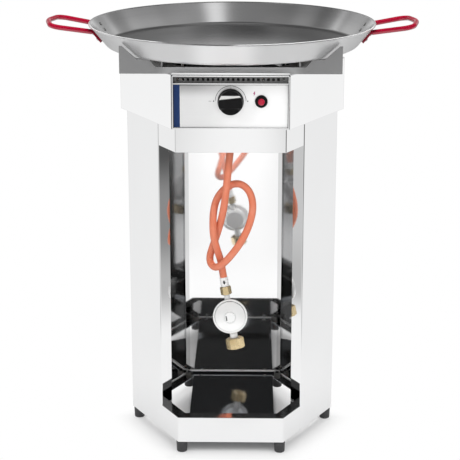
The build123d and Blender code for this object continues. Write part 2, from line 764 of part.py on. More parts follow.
def mixing_tube():
    """Venturi tube from an open mouth behind the injector to the burner's hub."""
    mouth = OUTLET_END + INJECTOR_HEX + INJECTOR_TIP - INJECTOR_INSIDE
    end = -SOCKET_REACH + SOCKET_DEPTH
    length = end - mouth
    throat = TUBE_MOUTH_LENGTH + TUBE_THROAT_LENGTH
    outside = [(TUBE_MOUTH_RADIUS, 0), (TUBE_THROAT_RADIUS, TUBE_MOUTH_LENGTH), (TUBE_THROAT_RADIUS, throat),
               (TUBE_END_RADIUS, length - SOCKET_DEPTH - TUBE_WALL), (TUBE_END_RADIUS, length)]
    inside = [(radius - TUBE_WALL, along) for radius, along in reversed(outside)]
    tube = turned(outside + inside)
    return Plane((0, mouth, Z_GAS), x_dir=(1, 0, 0), z_dir=(0, 1, 0)) * tube


def injector():
    """Jet screwed into the valve's outlet, with its tip in the mouth of the mixing tube."""
    jet = hexagon_bar(INJECTOR_ACROSS, INJECTOR_HEX)
    jet += round_bar(INJECTOR_TIP_RADIUS, INJECTOR_HEX, INJECTOR_TIP)
    return Plane((0, OUTLET_END, Z_GAS), x_dir=(1, 0, 0), z_dir=(0, 1, 0)) * jet


def burner_bracket():
    """Right strap from the box floor to the underside of the outer ring."""
    floor_z = Z_BOX + SHEET
    shelf_z = ring_bottom() - BRACKET_STRIP
    ring_edge = RING_RADIUS + RING_TUBE
    upright_x = ring_edge + BRACKET_BEYOND_RING
    foot_end = corner(0, BOX_RADIUS, BOX_FLOOR_RING).X + BRACKET_ON_FLOOR
    path = [Vector(ring_edge - BRACKET_UNDER_RING, shelf_z), Vector(upright_x, shelf_z),
            Vector(upright_x, floor_z), Vector(foot_end, floor_z)]
    strap = folded_face(path, BRACKET_STRIP, INSIDE_BEND)
    return extrude(Plane.XZ * strap, amount=BRACKET_WIDTH / 2, both=True)


def probe_bracket():
    """Plate under the front of the outer ring that holds the electrode and the flame probe."""
    x, y = probe_place(1)
    plate = Pos(0, y, ring_bottom() - PROBE_PLATE) * Box(
        2 * (x + PROBE_EDGE), PROBE_PLATE_DEPTH, PROBE_PLATE, align=(Align.CENTER, Align.CENTER, Align.MIN))
    for side, radius in ((1, ELECTRODE_RADIUS), (-1, PROBE_RADIUS)):
        plate -= Pos(side * x, y, ring_bottom()) * Cylinder(radius + FIT, 4 * PROBE_PLATE)
    return plate


def upright_probe(side, radius, tip_radius):
    x, y = probe_place(side)
    foot_z = probe_foot()
    length = ring_bottom() + PROBE_ABOVE - foot_z
    return round_bar(radius, foot_z, length, x, y) + round_bar(tip_radius, foot_z + length, PROBE_TIP, x, y)


def spark_electrode():
    return upright_probe(1, ELECTRODE_RADIUS, ELECTRODE_TIP_RADIUS)


def flame_probe():
    return upright_probe(-1, PROBE_RADIUS, PROBE_TIP_RADIUS)


def probe_capillary():
    """Thin tube from the flame probe back to the valve."""
    x, y = probe_place(-1)
    foot_z = probe_foot()
    port_x = -VALVE_RADIUS
    port_y = VALVE_END - VALVE_RADIUS
    route = [(port_x, port_y, Z_CONTROL), (port_x - 16, port_y, Z_CONTROL),
             (port_x - 30, port_y + 14, foot_z - 16), (x, y - 10, foot_z - 26),
             (x, y, foot_z - 14), (x, y, foot_z)]
    return hose_along(route, CAPILLARY_DIAMETER / 2)


# Pan bars and pan

def bar_outline(shoulder_start, slope_length, end_points):
    """A bar seen from its side, as (along, height) points: low in the middle, with raised ends."""
    half = [(shoulder_start - slope_length, BAR_HEIGHT), (shoulder_start, BAR_SHOULDER)] + end_points
    left = [(-along, height) for along, height in half]
    return make_face(Polyline(*half, *reversed(left), close=True))


def pan_half_width(height):
    """Half width of the pan where it crosses a bar, at a height above the pan's floor."""
    radius = PAN_FLOOR_RADIUS + PAN_FLARE * height / PAN_DEPTH
    return sqrt(radius ** 2 - (BAR_Y - BAR_THICKNESS / 2) ** 2)


def pan_bar(side):
    """Cross plate under the front or rear of the pan, with an ear at each end; side is -1 for front."""
    shoulder_end = pan_half_width(0) + BAR_PAN_GAP
    ear_start = pan_half_width(BAR_EAR - BAR_SHOULDER) + BAR_PAN_GAP
    end = ear_start + BAR_EAR_FLAT
    ear = [(shoulder_end, BAR_SHOULDER), (ear_start, BAR_EAR), (end, BAR_EAR), (end, 0)]
    outline = bar_outline(shoulder_end - BAR_SHOULDER_LENGTH, BAR_SLOPE_LENGTH, ear)
    return extrude(front_place(0, side * BAR_Y, Z_DECK) * outline, amount=BAR_THICKNESS / 2, both=True)


def pan_cross_bar(side):
    """Plate between the front and rear bars; side is -1 for left."""
    end = BAR_Y - BAR_THICKNESS / 2
    outline = bar_outline(BAR_Y - CROSS_SHOULDER_LENGTH, CROSS_SLOPE_LENGTH, [(end, BAR_SHOULDER), (end, 0)])
    place = Plane((side * CROSS_X, 0, Z_DECK), x_dir=(0, 1, 0), z_dir=(1, 0, 0))
    return extrude(place * outline, amount=BAR_THICKNESS / 2, both=True)


def pan_wall_slope():
    return Vector(PAN_RADIUS - RIM_BEAD / 2 - PAN_FLOOR_RADIUS, PAN_DEPTH - RIM_BEAD / 2).normalized()


def paella_pan():
    """Shallow pan of one sheet with a rounded floor corner and a beaded rim."""
    rim = Vector(PAN_RADIUS - RIM_BEAD / 2, PAN_DEPTH - RIM_BEAD / 2)
    path = [Vector(0, 0), Vector(PAN_FLOOR_RADIUS, 0), rim]
    profile = folded_face(path, PAN_SHEET, PAN_INSIDE_BEND) + Pos(rim.X, rim.Y) * Circle(RIM_BEAD / 2)
    return Pos(0, 0, Z_PAN) * revolve(Plane.XZ * profile, axis=Axis.Z)


def tab_plane(side_y):
    """Place of a handle tab on the outside of the right wall of a pan at z = 0; local X goes up."""
    slope = pan_wall_slope()
    along = (PAN_DEPTH - TAB_BELOW_RIM) / slope.Y
    reach = PAN_FLOOR_RADIUS + slope.X * along
    turn = side_y * TAB_HALF_SPACING / reach
    outward = Vector(sqrt(1 - turn * turn), turn, 0)
    normal = outward * slope.Y + Vector(0, 0, -slope.X)
    up_wall = outward * slope.X + Vector(0, 0, slope.Y)
    origin = outward * reach + Vector(0, 0, PAN_DEPTH - TAB_BELOW_RIM)
    return Plane(origin + normal * FIT, x_dir=up_wall, z_dir=normal)


def pan_handle():
    """Right handle: a bent rod with flattened tabs that lie down the outside of the pan's wall."""
    roots = []
    tabs = []
    for side_y in (-1, 1):
        place = tab_plane(side_y)
        tabs.append(extrude(place * SlotOverall(TAB_LENGTH, TAB_WIDTH), amount=TAB_THICKNESS))
        up_tab = place.x_dir * (TAB_LENGTH / 2 - TAB_WIDTH / 4)
        roots.append(place.origin + up_tab + place.z_dir * (HANDLE_ROD / 2))
    tip_x = HANDLE_REACH - HANDLE_ROD / 2
    corner_x = tip_x - HANDLE_CORNER_INSET
    root_z = roots[0].Z
    points = [
        roots[0],
        Vector(corner_x, -HANDLE_HALF_WIDTH, root_z + HANDLE_RISE),
        Vector(tip_x + HANDLE_TIP_BOW, 0, root_z + HANDLE_RISE + HANDLE_TIP_BOW),
        Vector(corner_x, HANDLE_HALF_WIDTH, root_z + HANDLE_RISE),
        roots[1],
    ]
    path = FilletPolyline(*points, radius=[HANDLE_CORNER_RADIUS, HANDLE_TIP_RADIUS, HANDLE_CORNER_RADIUS])
    rod = sweep(Plane(path @ 0, z_dir=path % 0) * Circle(HANDLE_ROD / 2), path=path)
    handle = rod + tabs
    for root in roots:
        handle += Pos(root) * Sphere(HANDLE_ROD / 2)
    return Pos(0, 0, Z_PAN) * handle


# Gas hose and regulator

def hose_radii(points):
    """Radius of each bend: as large as the two runs beside it allow."""
    radii = []
    for before, here, after in zip(points, points[1:], points[2:]):
        run_in = here - before
        run_out = after - here
        half_turn = radians(run_in.get_angle(run_out)) / 2
        radii.append(BEND_SHARE * min(run_in.length, run_out.length) / tan(half_turn))
    return radii


def hose_path(route):
    points = [Vector(*place) for place in route]
    return FilletPolyline(*points, radius=hose_radii(points))


def hose_along(route, radius, bore=0.0):
    """Tube of a given radius along straight runs and tangent bends."""
    path = hose_path(route)
    section = Circle(radius)
    if bore:
        section -= Circle(bore)
    return sweep(Plane(path @ 0, z_dir=path % 0) * section, path=path)


def gas_hose():
    return hose_along(HOSE_ROUTE, HOSE_DIAMETER / 2, HOSE_BORE / 2)


def tail_top():
    """Where the hose tail meets the valve's inlet boss, just above the box floor."""
    return Z_BOX + SHEET + TAIL_ABOVE_FLOOR


def hose_tail():
    """Hexagon under the valve's inlet, with a nipple inside the hose."""
    tail = Pos(0, INLET_Y, HOSE_TOP[2]) * hexagon_bar(TAIL_ACROSS, tail_top() - HOSE_TOP[2])
    return tail + round_bar(HOSE_BORE / 2 - FIT, HOSE_TOP[2] - TAIL_NIPPLE, TAIL_NIPPLE, 0, INLET_Y)


def ferrule(length):
    inner = HOSE_DIAMETER / 2 + FIT
    return sleeve(inner + FERRULE_WALL, inner, length)


def upper_ferrule():
    return Pos(0, INLET_Y, HOSE_TOP[2] - UPPER_FERRULE) * ferrule(UPPER_FERRULE)


def regulator_place():
    """Place at the hose's end: local Z runs down the regulator and local Y faces the front."""
    end = Vector(*HOSE_ROUTE[-1])
    down = (end - Vector(*HOSE_ROUTE[-2])).normalized()
    side = Vector(0, -1, 0).cross(down).normalized()
    return Plane(end, x_dir=side, z_dir=down)


def lower_ferrule():
    return regulator_place() * (Pos(0, 0, -LOWER_FERRULE) * ferrule(LOWER_FERRULE))


def hose_nut():
    """Brass nut under the ferrule, with a nipple up into the hose."""
    nut = hexagon_bar(HOSE_NUT_ACROSS, HOSE_NUT)
    nut += round_bar(HOSE_BORE / 2 - FIT, -NUT_NIPPLE, NUT_NIPPLE)
    return regulator_place() * nut


def disc_middle():
    """Distance from the hose's end down to the middle of the regulator's disc."""
    return HOSE_NUT + NECK + REGULATOR_RADIUS


def facing(distance):
    """Place of the disc in the regulator's frame, forward of the gas way; its local Z faces the front."""
    return Plane((0, REGULATOR_FORWARD, distance), x_dir=(1, 0, 0), z_dir=(0, 1, 0))


def regulator_body():
    """Die-cast body: rimmed disc with a stepped back, and a neck above and below."""
    half_rim = REGULATOR_RIM / 2
    back = -half_rim - REGULATOR_BACK
    rim_edge = half_rim - REGULATOR_BEVEL
    rim_face = REGULATOR_RADIUS - REGULATOR_BEVEL
    disc = turned([(0, back), (REGULATOR_BACK_RADIUS - REGULATOR_BACK_BEVEL, back),
                   (REGULATOR_BACK_RADIUS, back + REGULATOR_BACK_BEVEL),
                   (REGULATOR_BACK_RADIUS + REGULATOR_FLARE, -half_rim - REGULATOR_FLARE),
                   (rim_face, -half_rim), (REGULATOR_RADIUS, -rim_edge), (REGULATOR_RADIUS, rim_edge),
                   (rim_face, half_rim), (0, half_rim)])
    middle = disc_middle()
    body = facing(middle) * disc
    body += round_bar(NECK_RADIUS, HOSE_NUT, middle - HOSE_NUT)
    lower = middle + REGULATOR_RADIUS + OUTLET_NECK
    body += round_bar(OUTLET_NECK_RADIUS, middle, lower - middle)
    stem_end = lower + FIT + UNION_LID + FIT
    body += round_bar(UNION_STEM_RADIUS, middle, stem_end - middle)
    body += round_bar(UNION_COLLAR_RADIUS, stem_end, UNION_COLLAR)
    return regulator_place() * body


def regulator_cover():
    """Domed spring cover with a raised boss in the middle."""
    half_rim = REGULATOR_RIM / 2
    top = half_rim + COVER_RISE
    boss_top = top + COVER_BOSS
    cover = turned([(0, half_rim), (COVER_RADIUS, half_rim),
                    (COVER_RADIUS - COVER_BEVEL, half_rim + COVER_EDGE),
                    (COVER_SHOULDER_RADIUS, half_rim + COVER_SHOULDER), (COVER_FLAT_RADIUS, top),
                    (COVER_BOSS_RADIUS, top), (COVER_BOSS_RADIUS - COVER_BEVEL, boss_top), (0, boss_top)])
    return regulator_place() * (facing(disc_middle()) * cover)


def union_nut():
    """Bottle nut that turns on the regulator's stem and hangs on its collar."""
    start = disc_middle() + REGULATOR_RADIUS + OUTLET_NECK + FIT
    collar_end = UNION_LID + UNION_COLLAR + 2 * FIT
    nut = hexagon_bar(UNION_ACROSS, UNION_NUT, UNION_STEM_RADIUS + RUNNING)
    nut -= round_bar(UNION_COLLAR_RADIUS + FIT, UNION_LID, UNION_NUT)
    nut -= round_bar(UNION_THREAD_RADIUS, collar_end, UNION_NUT)
    return regulator_place() * (Pos(0, 0, start) * nut)


def build():
    right_bracket = burner_bracket()
    left_side = side_panel()
    right_handle = pan_handle()
    parts = {
        "side_panel_left": left_side,
        "side_panel_right": mirrored(left_side),
        "base_front_panel": base_front_panel(),
        "front_lintel": front_lintel(),
        "back_panel": back_panel(),
        "bottle_shelf": bottle_shelf(),
        "burner_box_floor": burner_box_floor(),
        "burner_box_wall": burner_box_wall(),
        "burner_deck": burner_deck(),
        "control_frame": control_frame(),
        "control_panel": control_panel(),
        "control_knob": control_knob(),
        "knob_pointer": knob_pointer(),
        "valve_stem": valve_stem(),
        "valve_plunger": valve_plunger(),
        "valve_body": valve_body(),
        "igniter_body": igniter_body(),
        "igniter_button": igniter_button(),
        "igniter_nut": igniter_nut(),
        "igniter_lead": igniter_lead(),
        "ring_burner": ring_burner(),
        "mixing_tube": mixing_tube(),
        "injector": injector(),
        "burner_bracket_right": right_bracket,
        "burner_bracket_left": mirrored(right_bracket),
        "probe_bracket": probe_bracket(),
        "spark_electrode": spark_electrode(),
        "flame_probe": flame_probe(),
        "probe_capillary": probe_capillary(),
        "pan_bar_front": pan_bar(-1),
        "pan_bar_rear": pan_bar(1),
        "pan_cross_bar_left": pan_cross_bar(-1),
        "pan_cross_bar_right": pan_cross_bar(1),
        "paella_pan": paella_pan(),
        "pan_handle_right": right_handle,
        "pan_handle_left": mirrored(right_handle),
        "gas_hose": gas_hose(),
        "hose_tail": hose_tail(),
        "upper_ferrule": upper_ferrule(),
        "lower_ferrule": lower_ferrule(),
        "hose_nut": hose_nut(),
        "regulator_body": regulator_body(),
        "regulator_cover": regulator_cover(),
        "union_nut": union_nut(),
    }
    foot_names = ["right", "rear_right", "rear_left", "left", "front_left", "front_right"]
    for index, name in enumerate(foot_names):
        parts["foot_" + name] = foot(index)
    return parts


def least_gap(path, diameter):
    """Least gap between stretches of a tube that lie four diameters or more apart along it."""
    step = 2.0
    count = round(path.length / step)
    apart = round(4 * diameter / step)
    places = [path @ (index / count) for index in range(count + 1)]
    gaps = [(places[one] - places[other]).length
            for one in range(count + 1) for other in range(one + apart, count + 1)]
    return min(gaps) - diameter


def report_hose(hose):
    """Print the bend radii and compare the tube's volume with its section times its length."""
    points = [Vector(*place) for place in HOSE_ROUTE]
    print("hose bend radii", [round(radius, 1) for radius in hose_radii(points)])
    length = hose_path(HOSE_ROUTE).length
    section = pi * (HOSE_DIAMETER ** 2 - HOSE_BORE ** 2) / 4
    print("hose length", round(length, 1), "volume ratio", round(hose.volume / (section * length), 5))
    print("hose least gap to itself", round(least_gap(hose_path(HOSE_ROUTE), HOSE_DIAMETER), 2))


parts = build()
report_hose(parts["gas_hose"])
os.makedirs("parts", exist_ok=True)
for name, shape in parts.items():
    export_step(shape, "parts/" + name + ".step")
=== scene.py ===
import json
import math

import bmesh
import bpy
from mathutils import Matrix, Vector


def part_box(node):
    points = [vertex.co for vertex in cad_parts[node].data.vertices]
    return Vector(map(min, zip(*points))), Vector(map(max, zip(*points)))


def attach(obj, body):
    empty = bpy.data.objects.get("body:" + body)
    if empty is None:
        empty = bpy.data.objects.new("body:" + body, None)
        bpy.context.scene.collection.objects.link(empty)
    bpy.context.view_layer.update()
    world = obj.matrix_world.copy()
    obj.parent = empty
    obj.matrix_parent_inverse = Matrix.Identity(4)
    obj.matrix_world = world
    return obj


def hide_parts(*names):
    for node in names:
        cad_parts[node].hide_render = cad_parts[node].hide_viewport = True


# Gas burner stand for a paella pan: finishes, small parts, floor, light and camera, in metres.

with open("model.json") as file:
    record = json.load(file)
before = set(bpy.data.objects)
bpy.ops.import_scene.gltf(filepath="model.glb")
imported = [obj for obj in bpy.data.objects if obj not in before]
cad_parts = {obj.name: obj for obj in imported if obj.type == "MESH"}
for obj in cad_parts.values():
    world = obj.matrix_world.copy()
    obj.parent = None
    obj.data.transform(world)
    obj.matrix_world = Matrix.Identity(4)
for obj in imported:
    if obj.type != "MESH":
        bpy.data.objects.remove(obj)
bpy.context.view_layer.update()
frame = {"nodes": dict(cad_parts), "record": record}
nodes = frame["nodes"]
MM = 0.001

# Camera
CAMERA_PLACE = (0.0457, -3.1006, 1.3664)
CAMERA_PITCH = 16.624
CAMERA_TURN = 0.928
CAMERA_LENS = 116.19
SENSOR_WIDTH = 36

# Cabinet, burner box and control panel
SHEET = 1.2 * MM
HAZE_RISE = (240 * MM, 330 * MM)
deck_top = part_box("burner_deck")[1].z
LEDGE_BELOW_DECK = 19 * MM
LEDGE_HEIGHT = deck_top - LEDGE_BELOW_DECK

# Pan and its handles
pan_low, pan_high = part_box("paella_pan")
PAN_FLARE = 38 * MM
PAN_SHEET = 1.5 * MM
RINGS_PER_METRE = 700
RIM_BEAD = 5 * MM
TAB_HALF_SPACING = 53 * MM
TAB_BELOW_RIM = 21 * MM
TAB_THICKNESS = 5.3 * MM
RIVET_PITCH = 15 * MM

# Gas hose, from its top end through an overhand knot to the regulator
HOSE_DIAMETER = 15 * MM
HOSE_TOP = Vector((0, -152.598, 701)) * MM
HOSE_BENDS = [
    (0, 0, 0), (0, 0, -36), (-5, -3, -76), (-7, -10.5, -100), (-10.5, -17, -130.5), (-14.5, -17, -164.5),
    (-22.5, -9.5, -200.5), (-32, -2, -233), (-39.5, 2, -255.5), (-44.5, -2, -272.5), (-42.5, -12.5, -284.5),
    (-32, -24.5, -290), (-16.5, -34, -279), (3, -37, -256.5), (23, -33, -228.5), (38, -22.5, -198.5),
    (45.5, -10.5, -170), (44, -2, -146.5), (35, 4, -127.5), (18.5, 8.5, -117), (-1, 11.5, -120),
    (-17.5, 10.5, -133), (-30, 5.5, -149.5), (-36, -6.5, -171), (-37, -18, -194), (-36, -23.5, -221),
    (-29, -18, -251), (-21, -7.5, -278), (-17, -5.5, -307), (-12, -9.5, -335),
]
HOSE_END_AXIS = (Vector(HOSE_BENDS[-1]) - Vector(HOSE_BENDS[-2])).normalized()
SLEEVE_RADIUS = HOSE_DIAMETER / 2 + 1.25 * MM
UPPER_SLEEVE_LENGTH = 18 * MM
LOWER_SLEEVE_LENGTH = 20 * MM
CRIMP_DEPTH = 0.65 * MM
ROLLED_END = 0.6 * MM


# Shader building

class Signal:
    """A shader output in an expression: its operators add Math nodes to the same recipe."""

    def __init__(self, recipe, socket):
        self.recipe = recipe
        self.socket = socket

    def math(self, operation, first, second):
        return self.recipe.node("ShaderNodeMath", {"operation": operation}, {0: first, 1: second})

    def __add__(self, other):
        return self.math("ADD", self, other)

    def __radd__(self, other):
        return self.math("ADD", other, self)

    def __sub__(self, other):
        return self.math("SUBTRACT", self, other)

    def __rsub__(self, other):
        return self.math("SUBTRACT", other, self)

    def __mul__(self, other):
        return self.math("MULTIPLY", self, other)

    def __rmul__(self, other):
        return self.math("MULTIPLY", other, self)

    def __pow__(self, other):
        return self.math("POWER", self, other)


class Recipe:
    """A node tree under construction."""

    def __init__(self, tree):
        self.tree = tree

    def node(self, kind, settings=None, sockets=None, output=0):
        """Adds a node, with its settings first and then its sockets' values or links."""
        made = self.tree.nodes.new(kind)
        for name, value in (settings or {}).items():
            setattr(made, name, value)
        for name, value in (sockets or {}).items():
            self.feed(made.inputs[name], value)
        return Signal(self, made.outputs[output])

    def feed(self, socket, value):
        """Links a signal to a socket, or sets the socket's own value."""
        if isinstance(value, Signal):
            self.tree.links.new(value.socket, socket)
        elif socket.type == "RGBA" and len(value) == 3:
            socket.default_value = (*value, 1)
        else:
            socket.default_value = value

    def place(self, stretch=(1, 1, 1)):
        """Position on the object, stretched along its axes."""
        point = self.node("ShaderNodeTexCoord", output="Object")
        return self.node("ShaderNodeVectorMath", {"operation": "MULTIPLY"}, {0: point, 1: stretch})

    def axis(self, name):
        """One coordinate of the position on the object."""
        point = self.node("ShaderNodeTexCoord", output="Object")
        return self.node("ShaderNodeSeparateXYZ", {}, {0: point}, output=name)

    def reach(self):
        """Distance from the upright axis through the origin."""
        flat = self.place((1, 1, 0))
        return self.node("ShaderNodeVectorMath", {"operation": "LENGTH"}, {0: flat}, output="Value")

    def noise(self, scale, stretch=(1, 1, 1), detail=3.0, roughness=0.5):
        """Cloudy pattern on the object, finer as its scale grows."""
        return self.node("ShaderNodeTexNoise", {}, {
            "Vector": self.place(stretch), "Scale": scale, "Detail": detail, "Roughness": roughness})

    def lines(self, along):
        """Fine lines that follow one changing number."""
        return self.node("ShaderNodeTexNoise", {"noise_dimensions": "1D"}, {
            "W": along, "Scale": 1.0, "Detail": 2.0})

    def between(self, value, low, high):
        """0 below low, 1 above high, and smooth between them."""
        return self.node("ShaderNodeMapRange", {"interpolation_type": "SMOOTHSTEP"}, {
            "Value": value, "From Min": low, "From Max": high})

    def unsigned(self, value):
        """A value without its sign."""
        return self.node("ShaderNodeMath", {"operation": "ABSOLUTE"}, {0: value})

    def normal(self):
        return self.node("ShaderNodeNewGeometry", output="Normal")

    def upright(self):
        """How far the surface faces up: 1 on a top, 0 on a wall and -1 underneath."""
        return self.node("ShaderNodeSeparateXYZ", {}, {0: self.normal()}, output="Z")

    def alike(self, first, second):
        """Dot product of two vectors."""
        return self.node("ShaderNodeVectorMath", {"operation": "DOT_PRODUCT"},
                         {0: first, 1: second}, output="Value")

    def openness(self, distance):
        """1 on open faces, and less where other faces stand close by."""
        return self.node("ShaderNodeAmbientOcclusion", {"samples": 8}, {"Distance": distance}, output="AO")

    def edges(self, width):
        """1 along the edges of the shape and 0 on its flats."""
        rounded = self.node("ShaderNodeBevel", {"samples": 6}, {"Radius": width})
        return self.between(1 - self.alike(rounded, self.normal()), 0.005, 0.12)

    def blend(self, factor, first, second):
        """Colour that goes from the first to the second as the factor goes from 0 to 1."""
        return self.node("ShaderNodeMix", {"data_type": "RGBA"}, {0: factor, 6: first, 7: second}, output=2)

    def bump(self, height, depth, normal=None):
        """Normal of a surface raised by a height, on top of another normal if one is given."""
        sockets = {"Strength": 1.0, "Distance": depth, "Height": height}
        if normal:
            sockets["Normal"] = normal
        return self.node("ShaderNodeBump", {}, sockets)


class Finish(Recipe):
    """A material whose surface is filled in by name."""

    def __init__(self, name):
        self.material = bpy.data.materials.new(name)
        self.material.use_nodes = True
        super().__init__(self.material.node_tree)
        self.shader = self.tree.nodes["Principled BSDF"]

    def surface(self, values):
        """Fills in the surface's sockets and gives back the material."""
        for name, value in values.items():
            self.feed(self.shader.inputs[name], value)
        return self.material


def toned(colour, amount, added=0.0):
    """A colour made darker or paler, up to white."""
    return tuple(min(1.0, added + amount * part) for part in colour)


# Finishes of the metal parts

def polished_sheet(name, colour, rough=0.022, metallic=1.0, inside=1.0, haze=0.0):
    """Stainless sheet polished to a mirror, with faint waves, smears and polishing lines. Its inner faces may
    be darker, painted shade, and it may have a haze of dust above its foot."""
    steel = Finish(name)
    if haze:
        metallic = metallic - haze * steel.between(steel.axis("Z"), *HAZE_RISE)
    smears = steel.between(steel.noise(9, detail=5, roughness=0.62), 0.52, 0.74)
    lines = steel.noise(60, (30, 30, 0.6), detail=2)
    waves = steel.noise(3.2, detail=1)
    cloud = steel.noise(5, detail=3)
    outward = steel.alike(steel.place((1, 1, 0)), steel.normal())
    inner = 1 - steel.between(outward, -30 * MM, -10 * MM)
    darker = toned(colour, 0.955)
    # Painted shade: the inner faces are darkened by the inside factor.
    painted_inside_shade = toned(colour, inside)
    return steel.surface({
        "Base Color": steel.blend(inner, steel.blend(cloud, darker, colour), painted_inside_shade),
        "Metallic": metallic,
        "Roughness": rough + 0.05 * smears + 0.015 * lines,
        "Normal": steel.bump(lines, 0.004 * MM, steel.bump(waves, 0.35 * MM))})


def vented_panel(name, colour):
    """Control panel brushed from side to side, with painted shade round its vents, bright on its ledge, and
    with painted shade below the ledge and towards the left.
    """
    steel = Finish(name)
    lines = steel.noise(120, (0.02, 4, 4), detail=3, roughness=0.6)
    cloud = steel.noise(14, detail=3)
    height = steel.axis("Z")
    vents = steel.between(height, LEDGE_HEIGHT + 0.2 * MM, LEDGE_HEIGHT + 0.5 * MM)
    ledge = steel.between(height, LEDGE_HEIGHT - 0.5 * MM, LEDGE_HEIGHT - 0.2 * MM) * (1 - vents)
    # Painted shade: darker towards the left, below the ledge and most of all along the fold under it.
    left = 1 - steel.between(steel.axis("X"), -90 * MM, 60 * MM)
    shade = steel.between(height, LEDGE_HEIGHT - 30 * MM, LEDGE_HEIGHT - 1 * MM)
    fold = steel.between(height, LEDGE_HEIGHT - 4 * MM, LEDGE_HEIGHT - 1 * MM)
    tone = 0.15 * left + shade * (0.12 + 0.3 * left) + 0.25 * fold
    darker = toned(colour, 0.95)
    # Painted shade: the vent strip gets a dark colour in place of the dark it reflects.
    dull = toned(colour, 0.16)
    plain = steel.blend(tone, steel.blend(lines, darker, colour), (0, 0, 0))
    return steel.surface({
        "Base Color": steel.blend(vents, steel.blend(ledge, plain, colour), dull),
        "Metallic": 0.3 + 0.35 * left - 0.2 * ledge,
        "Roughness": 0.14 + 0.1 * lines + 0.05 * cloud + 0.2 * vents + 0.25 * ledge,
        "Normal": steel.bump(lines, 0.01 * MM)})


def satin_sheet(name, colour):
    """Sheet rubbed to a satin, with a fine grain and longer scratches, tinted by heat near the burner."""
    steel = Finish(name)
    grain = steel.noise(700, detail=4)
    scratches = steel.between(steel.noise(150, (0.05, 3, 3), detail=4, roughness=0.7), 0.6, 0.72)
    cloud = steel.noise(12, detail=4)
    tint = 1 - steel.between(steel.reach(), 150 * MM, 196 * MM)
    darker = toned(colour, 0.9)
    rubbed = steel.blend(0.7 * cloud + 0.3 * scratches, colour, darker)
    return steel.surface({
        "Base Color": steel.blend(0.8 * tint, rubbed, (0.16, 0.14, 0.12)),
        "Metallic": 0.3,
        "Roughness": 0.42 + 0.12 * cloud - 0.1 * scratches,
        "Normal": steel.bump(grain, 0.01 * MM)})


def silver_paint(name, colour, shine=0.2):
    """Cast metal under a thin silver paint, rubbed bright along its edges, with painted shade in its creases.
    """
    paint = Finish(name)
    grain = paint.noise(520, detail=4)
    cloud = paint.noise(40, detail=4)
    wear_and_highlight = paint.edges(0.7 * MM)
    # Painted shade: creases, where other faces stand close, are darkened to half the paint's colour.
    crease_shade_mask = 1 - paint.between(paint.openness(8 * MM), 0.45, 0.95)
    darker = toned(colour, 0.9)
    brighter = toned(colour, 1.15)
    painted_dark_colour = toned(colour, 0.5)
    plain = paint.blend(crease_shade_mask, paint.blend(cloud, darker, colour), painted_dark_colour)
    return paint.surface({
        "Base Color": paint.blend(0.7 * wear_and_highlight, plain, brighter),
        "Metallic": shine + 0.3 * wear_and_highlight,
        "Roughness": 0.3 + 0.1 * cloud - 0.1 * wear_and_highlight,
        "Normal": paint.bump(grain, 0.02 * MM)})


def turned_pan(name, colour, outside):
    """Pan steel with the rings left by turning, darker at the rear of its floor. Painted light brightens the
    floor's front and the foot of the wall, a painted highlight the near rim, and the paler satin outside is
    lighter down its middle and darker to its sides, painted light and shade."""
    steel = Finish(name)
    across, deep, height = [steel.axis(letter) for letter in "XYZ"]
    along = RINGS_PER_METRE * steel.reach() + RINGS_PER_METRE * height
    rings = steel.lines(along)
    broad = steel.lines(0.12 * along)
    cloud = steel.noise(7, detail=4)
    scuffs = steel.between(steel.noise(40, detail=6, roughness=0.7), 0.6, 0.75)
    upright = steel.upright()
    under = 1 - steel.between(upright, -0.2, 0.1)
    bottom = 1 - steel.between(height, pan_low.z + 3 * MM, pan_low.z + 6 * MM)
    foot = 1 - steel.between(height, pan_low.z + 8 * MM, pan_high.z - 8 * MM)
    bead = steel.between(height, pan_high.z - 4 * MM, pan_high.z - 2.5 * MM)
    rear = steel.between(deep, -250 * MM, 200 * MM)
    near = 1 - steel.between(deep, -90 * MM, -20 * MM)
    aside = steel.unsigned(across + 12 * MM)
    sides = steel.between(aside + 70 * MM * (cloud - 0.5), 30 * MM, 160 * MM)
    ring = steel.between(steel.reach() + 60 * MM * (cloud - 0.5), 40 * MM, 190 * MM)
    rear_darkening = bottom * rear * ring * (0.35 + 0.65 * sides)
    # Painted light: the front of the floor and the foot of the wall at the sides are made bright.
    painted_light_mask = 0.85 * (1 - bottom) * foot * sides + bottom * (1 - rear) * (1 - sides)
    wear_and_highlight = steel.between(steel.unsigned(across + 62 * MM), 55 * MM, 85 * MM) * near
    # Painted highlight: the top of the near rim, to the sides, is made bright and less metallic.
    rim = wear_and_highlight * bead * steel.between(upright, 0.2, 0.6)
    bright = (0.98, 0.98, 0.982)
    plain = steel.blend(0.6 * rings + 0.4 * broad, toned(colour, 0.86), colour)
    inside = steel.blend(painted_light_mask, steel.blend(rear_darkening, plain, toned(colour, 0.28)), bright)
    # Painted light and shade: the outside is lighter down its middle and darker to its sides.
    satin = steel.blend(steel.between(aside, 30 * MM, 85 * MM), outside, toned(outside, 0.74))
    return steel.surface({
        "Base Color": steel.blend(under, steel.blend(rim, inside, bright), satin),
        "Metallic": 1 - 0.2 * under - 0.55 * rim,
        "Roughness": 0.13 + 0.07 * rings + 0.05 * cloud + 0.06 * scuffs + 0.16 * under,
        "Normal": steel.bump(rings, 0.012 * MM, steel.bump(broad, 0.03 * MM))})


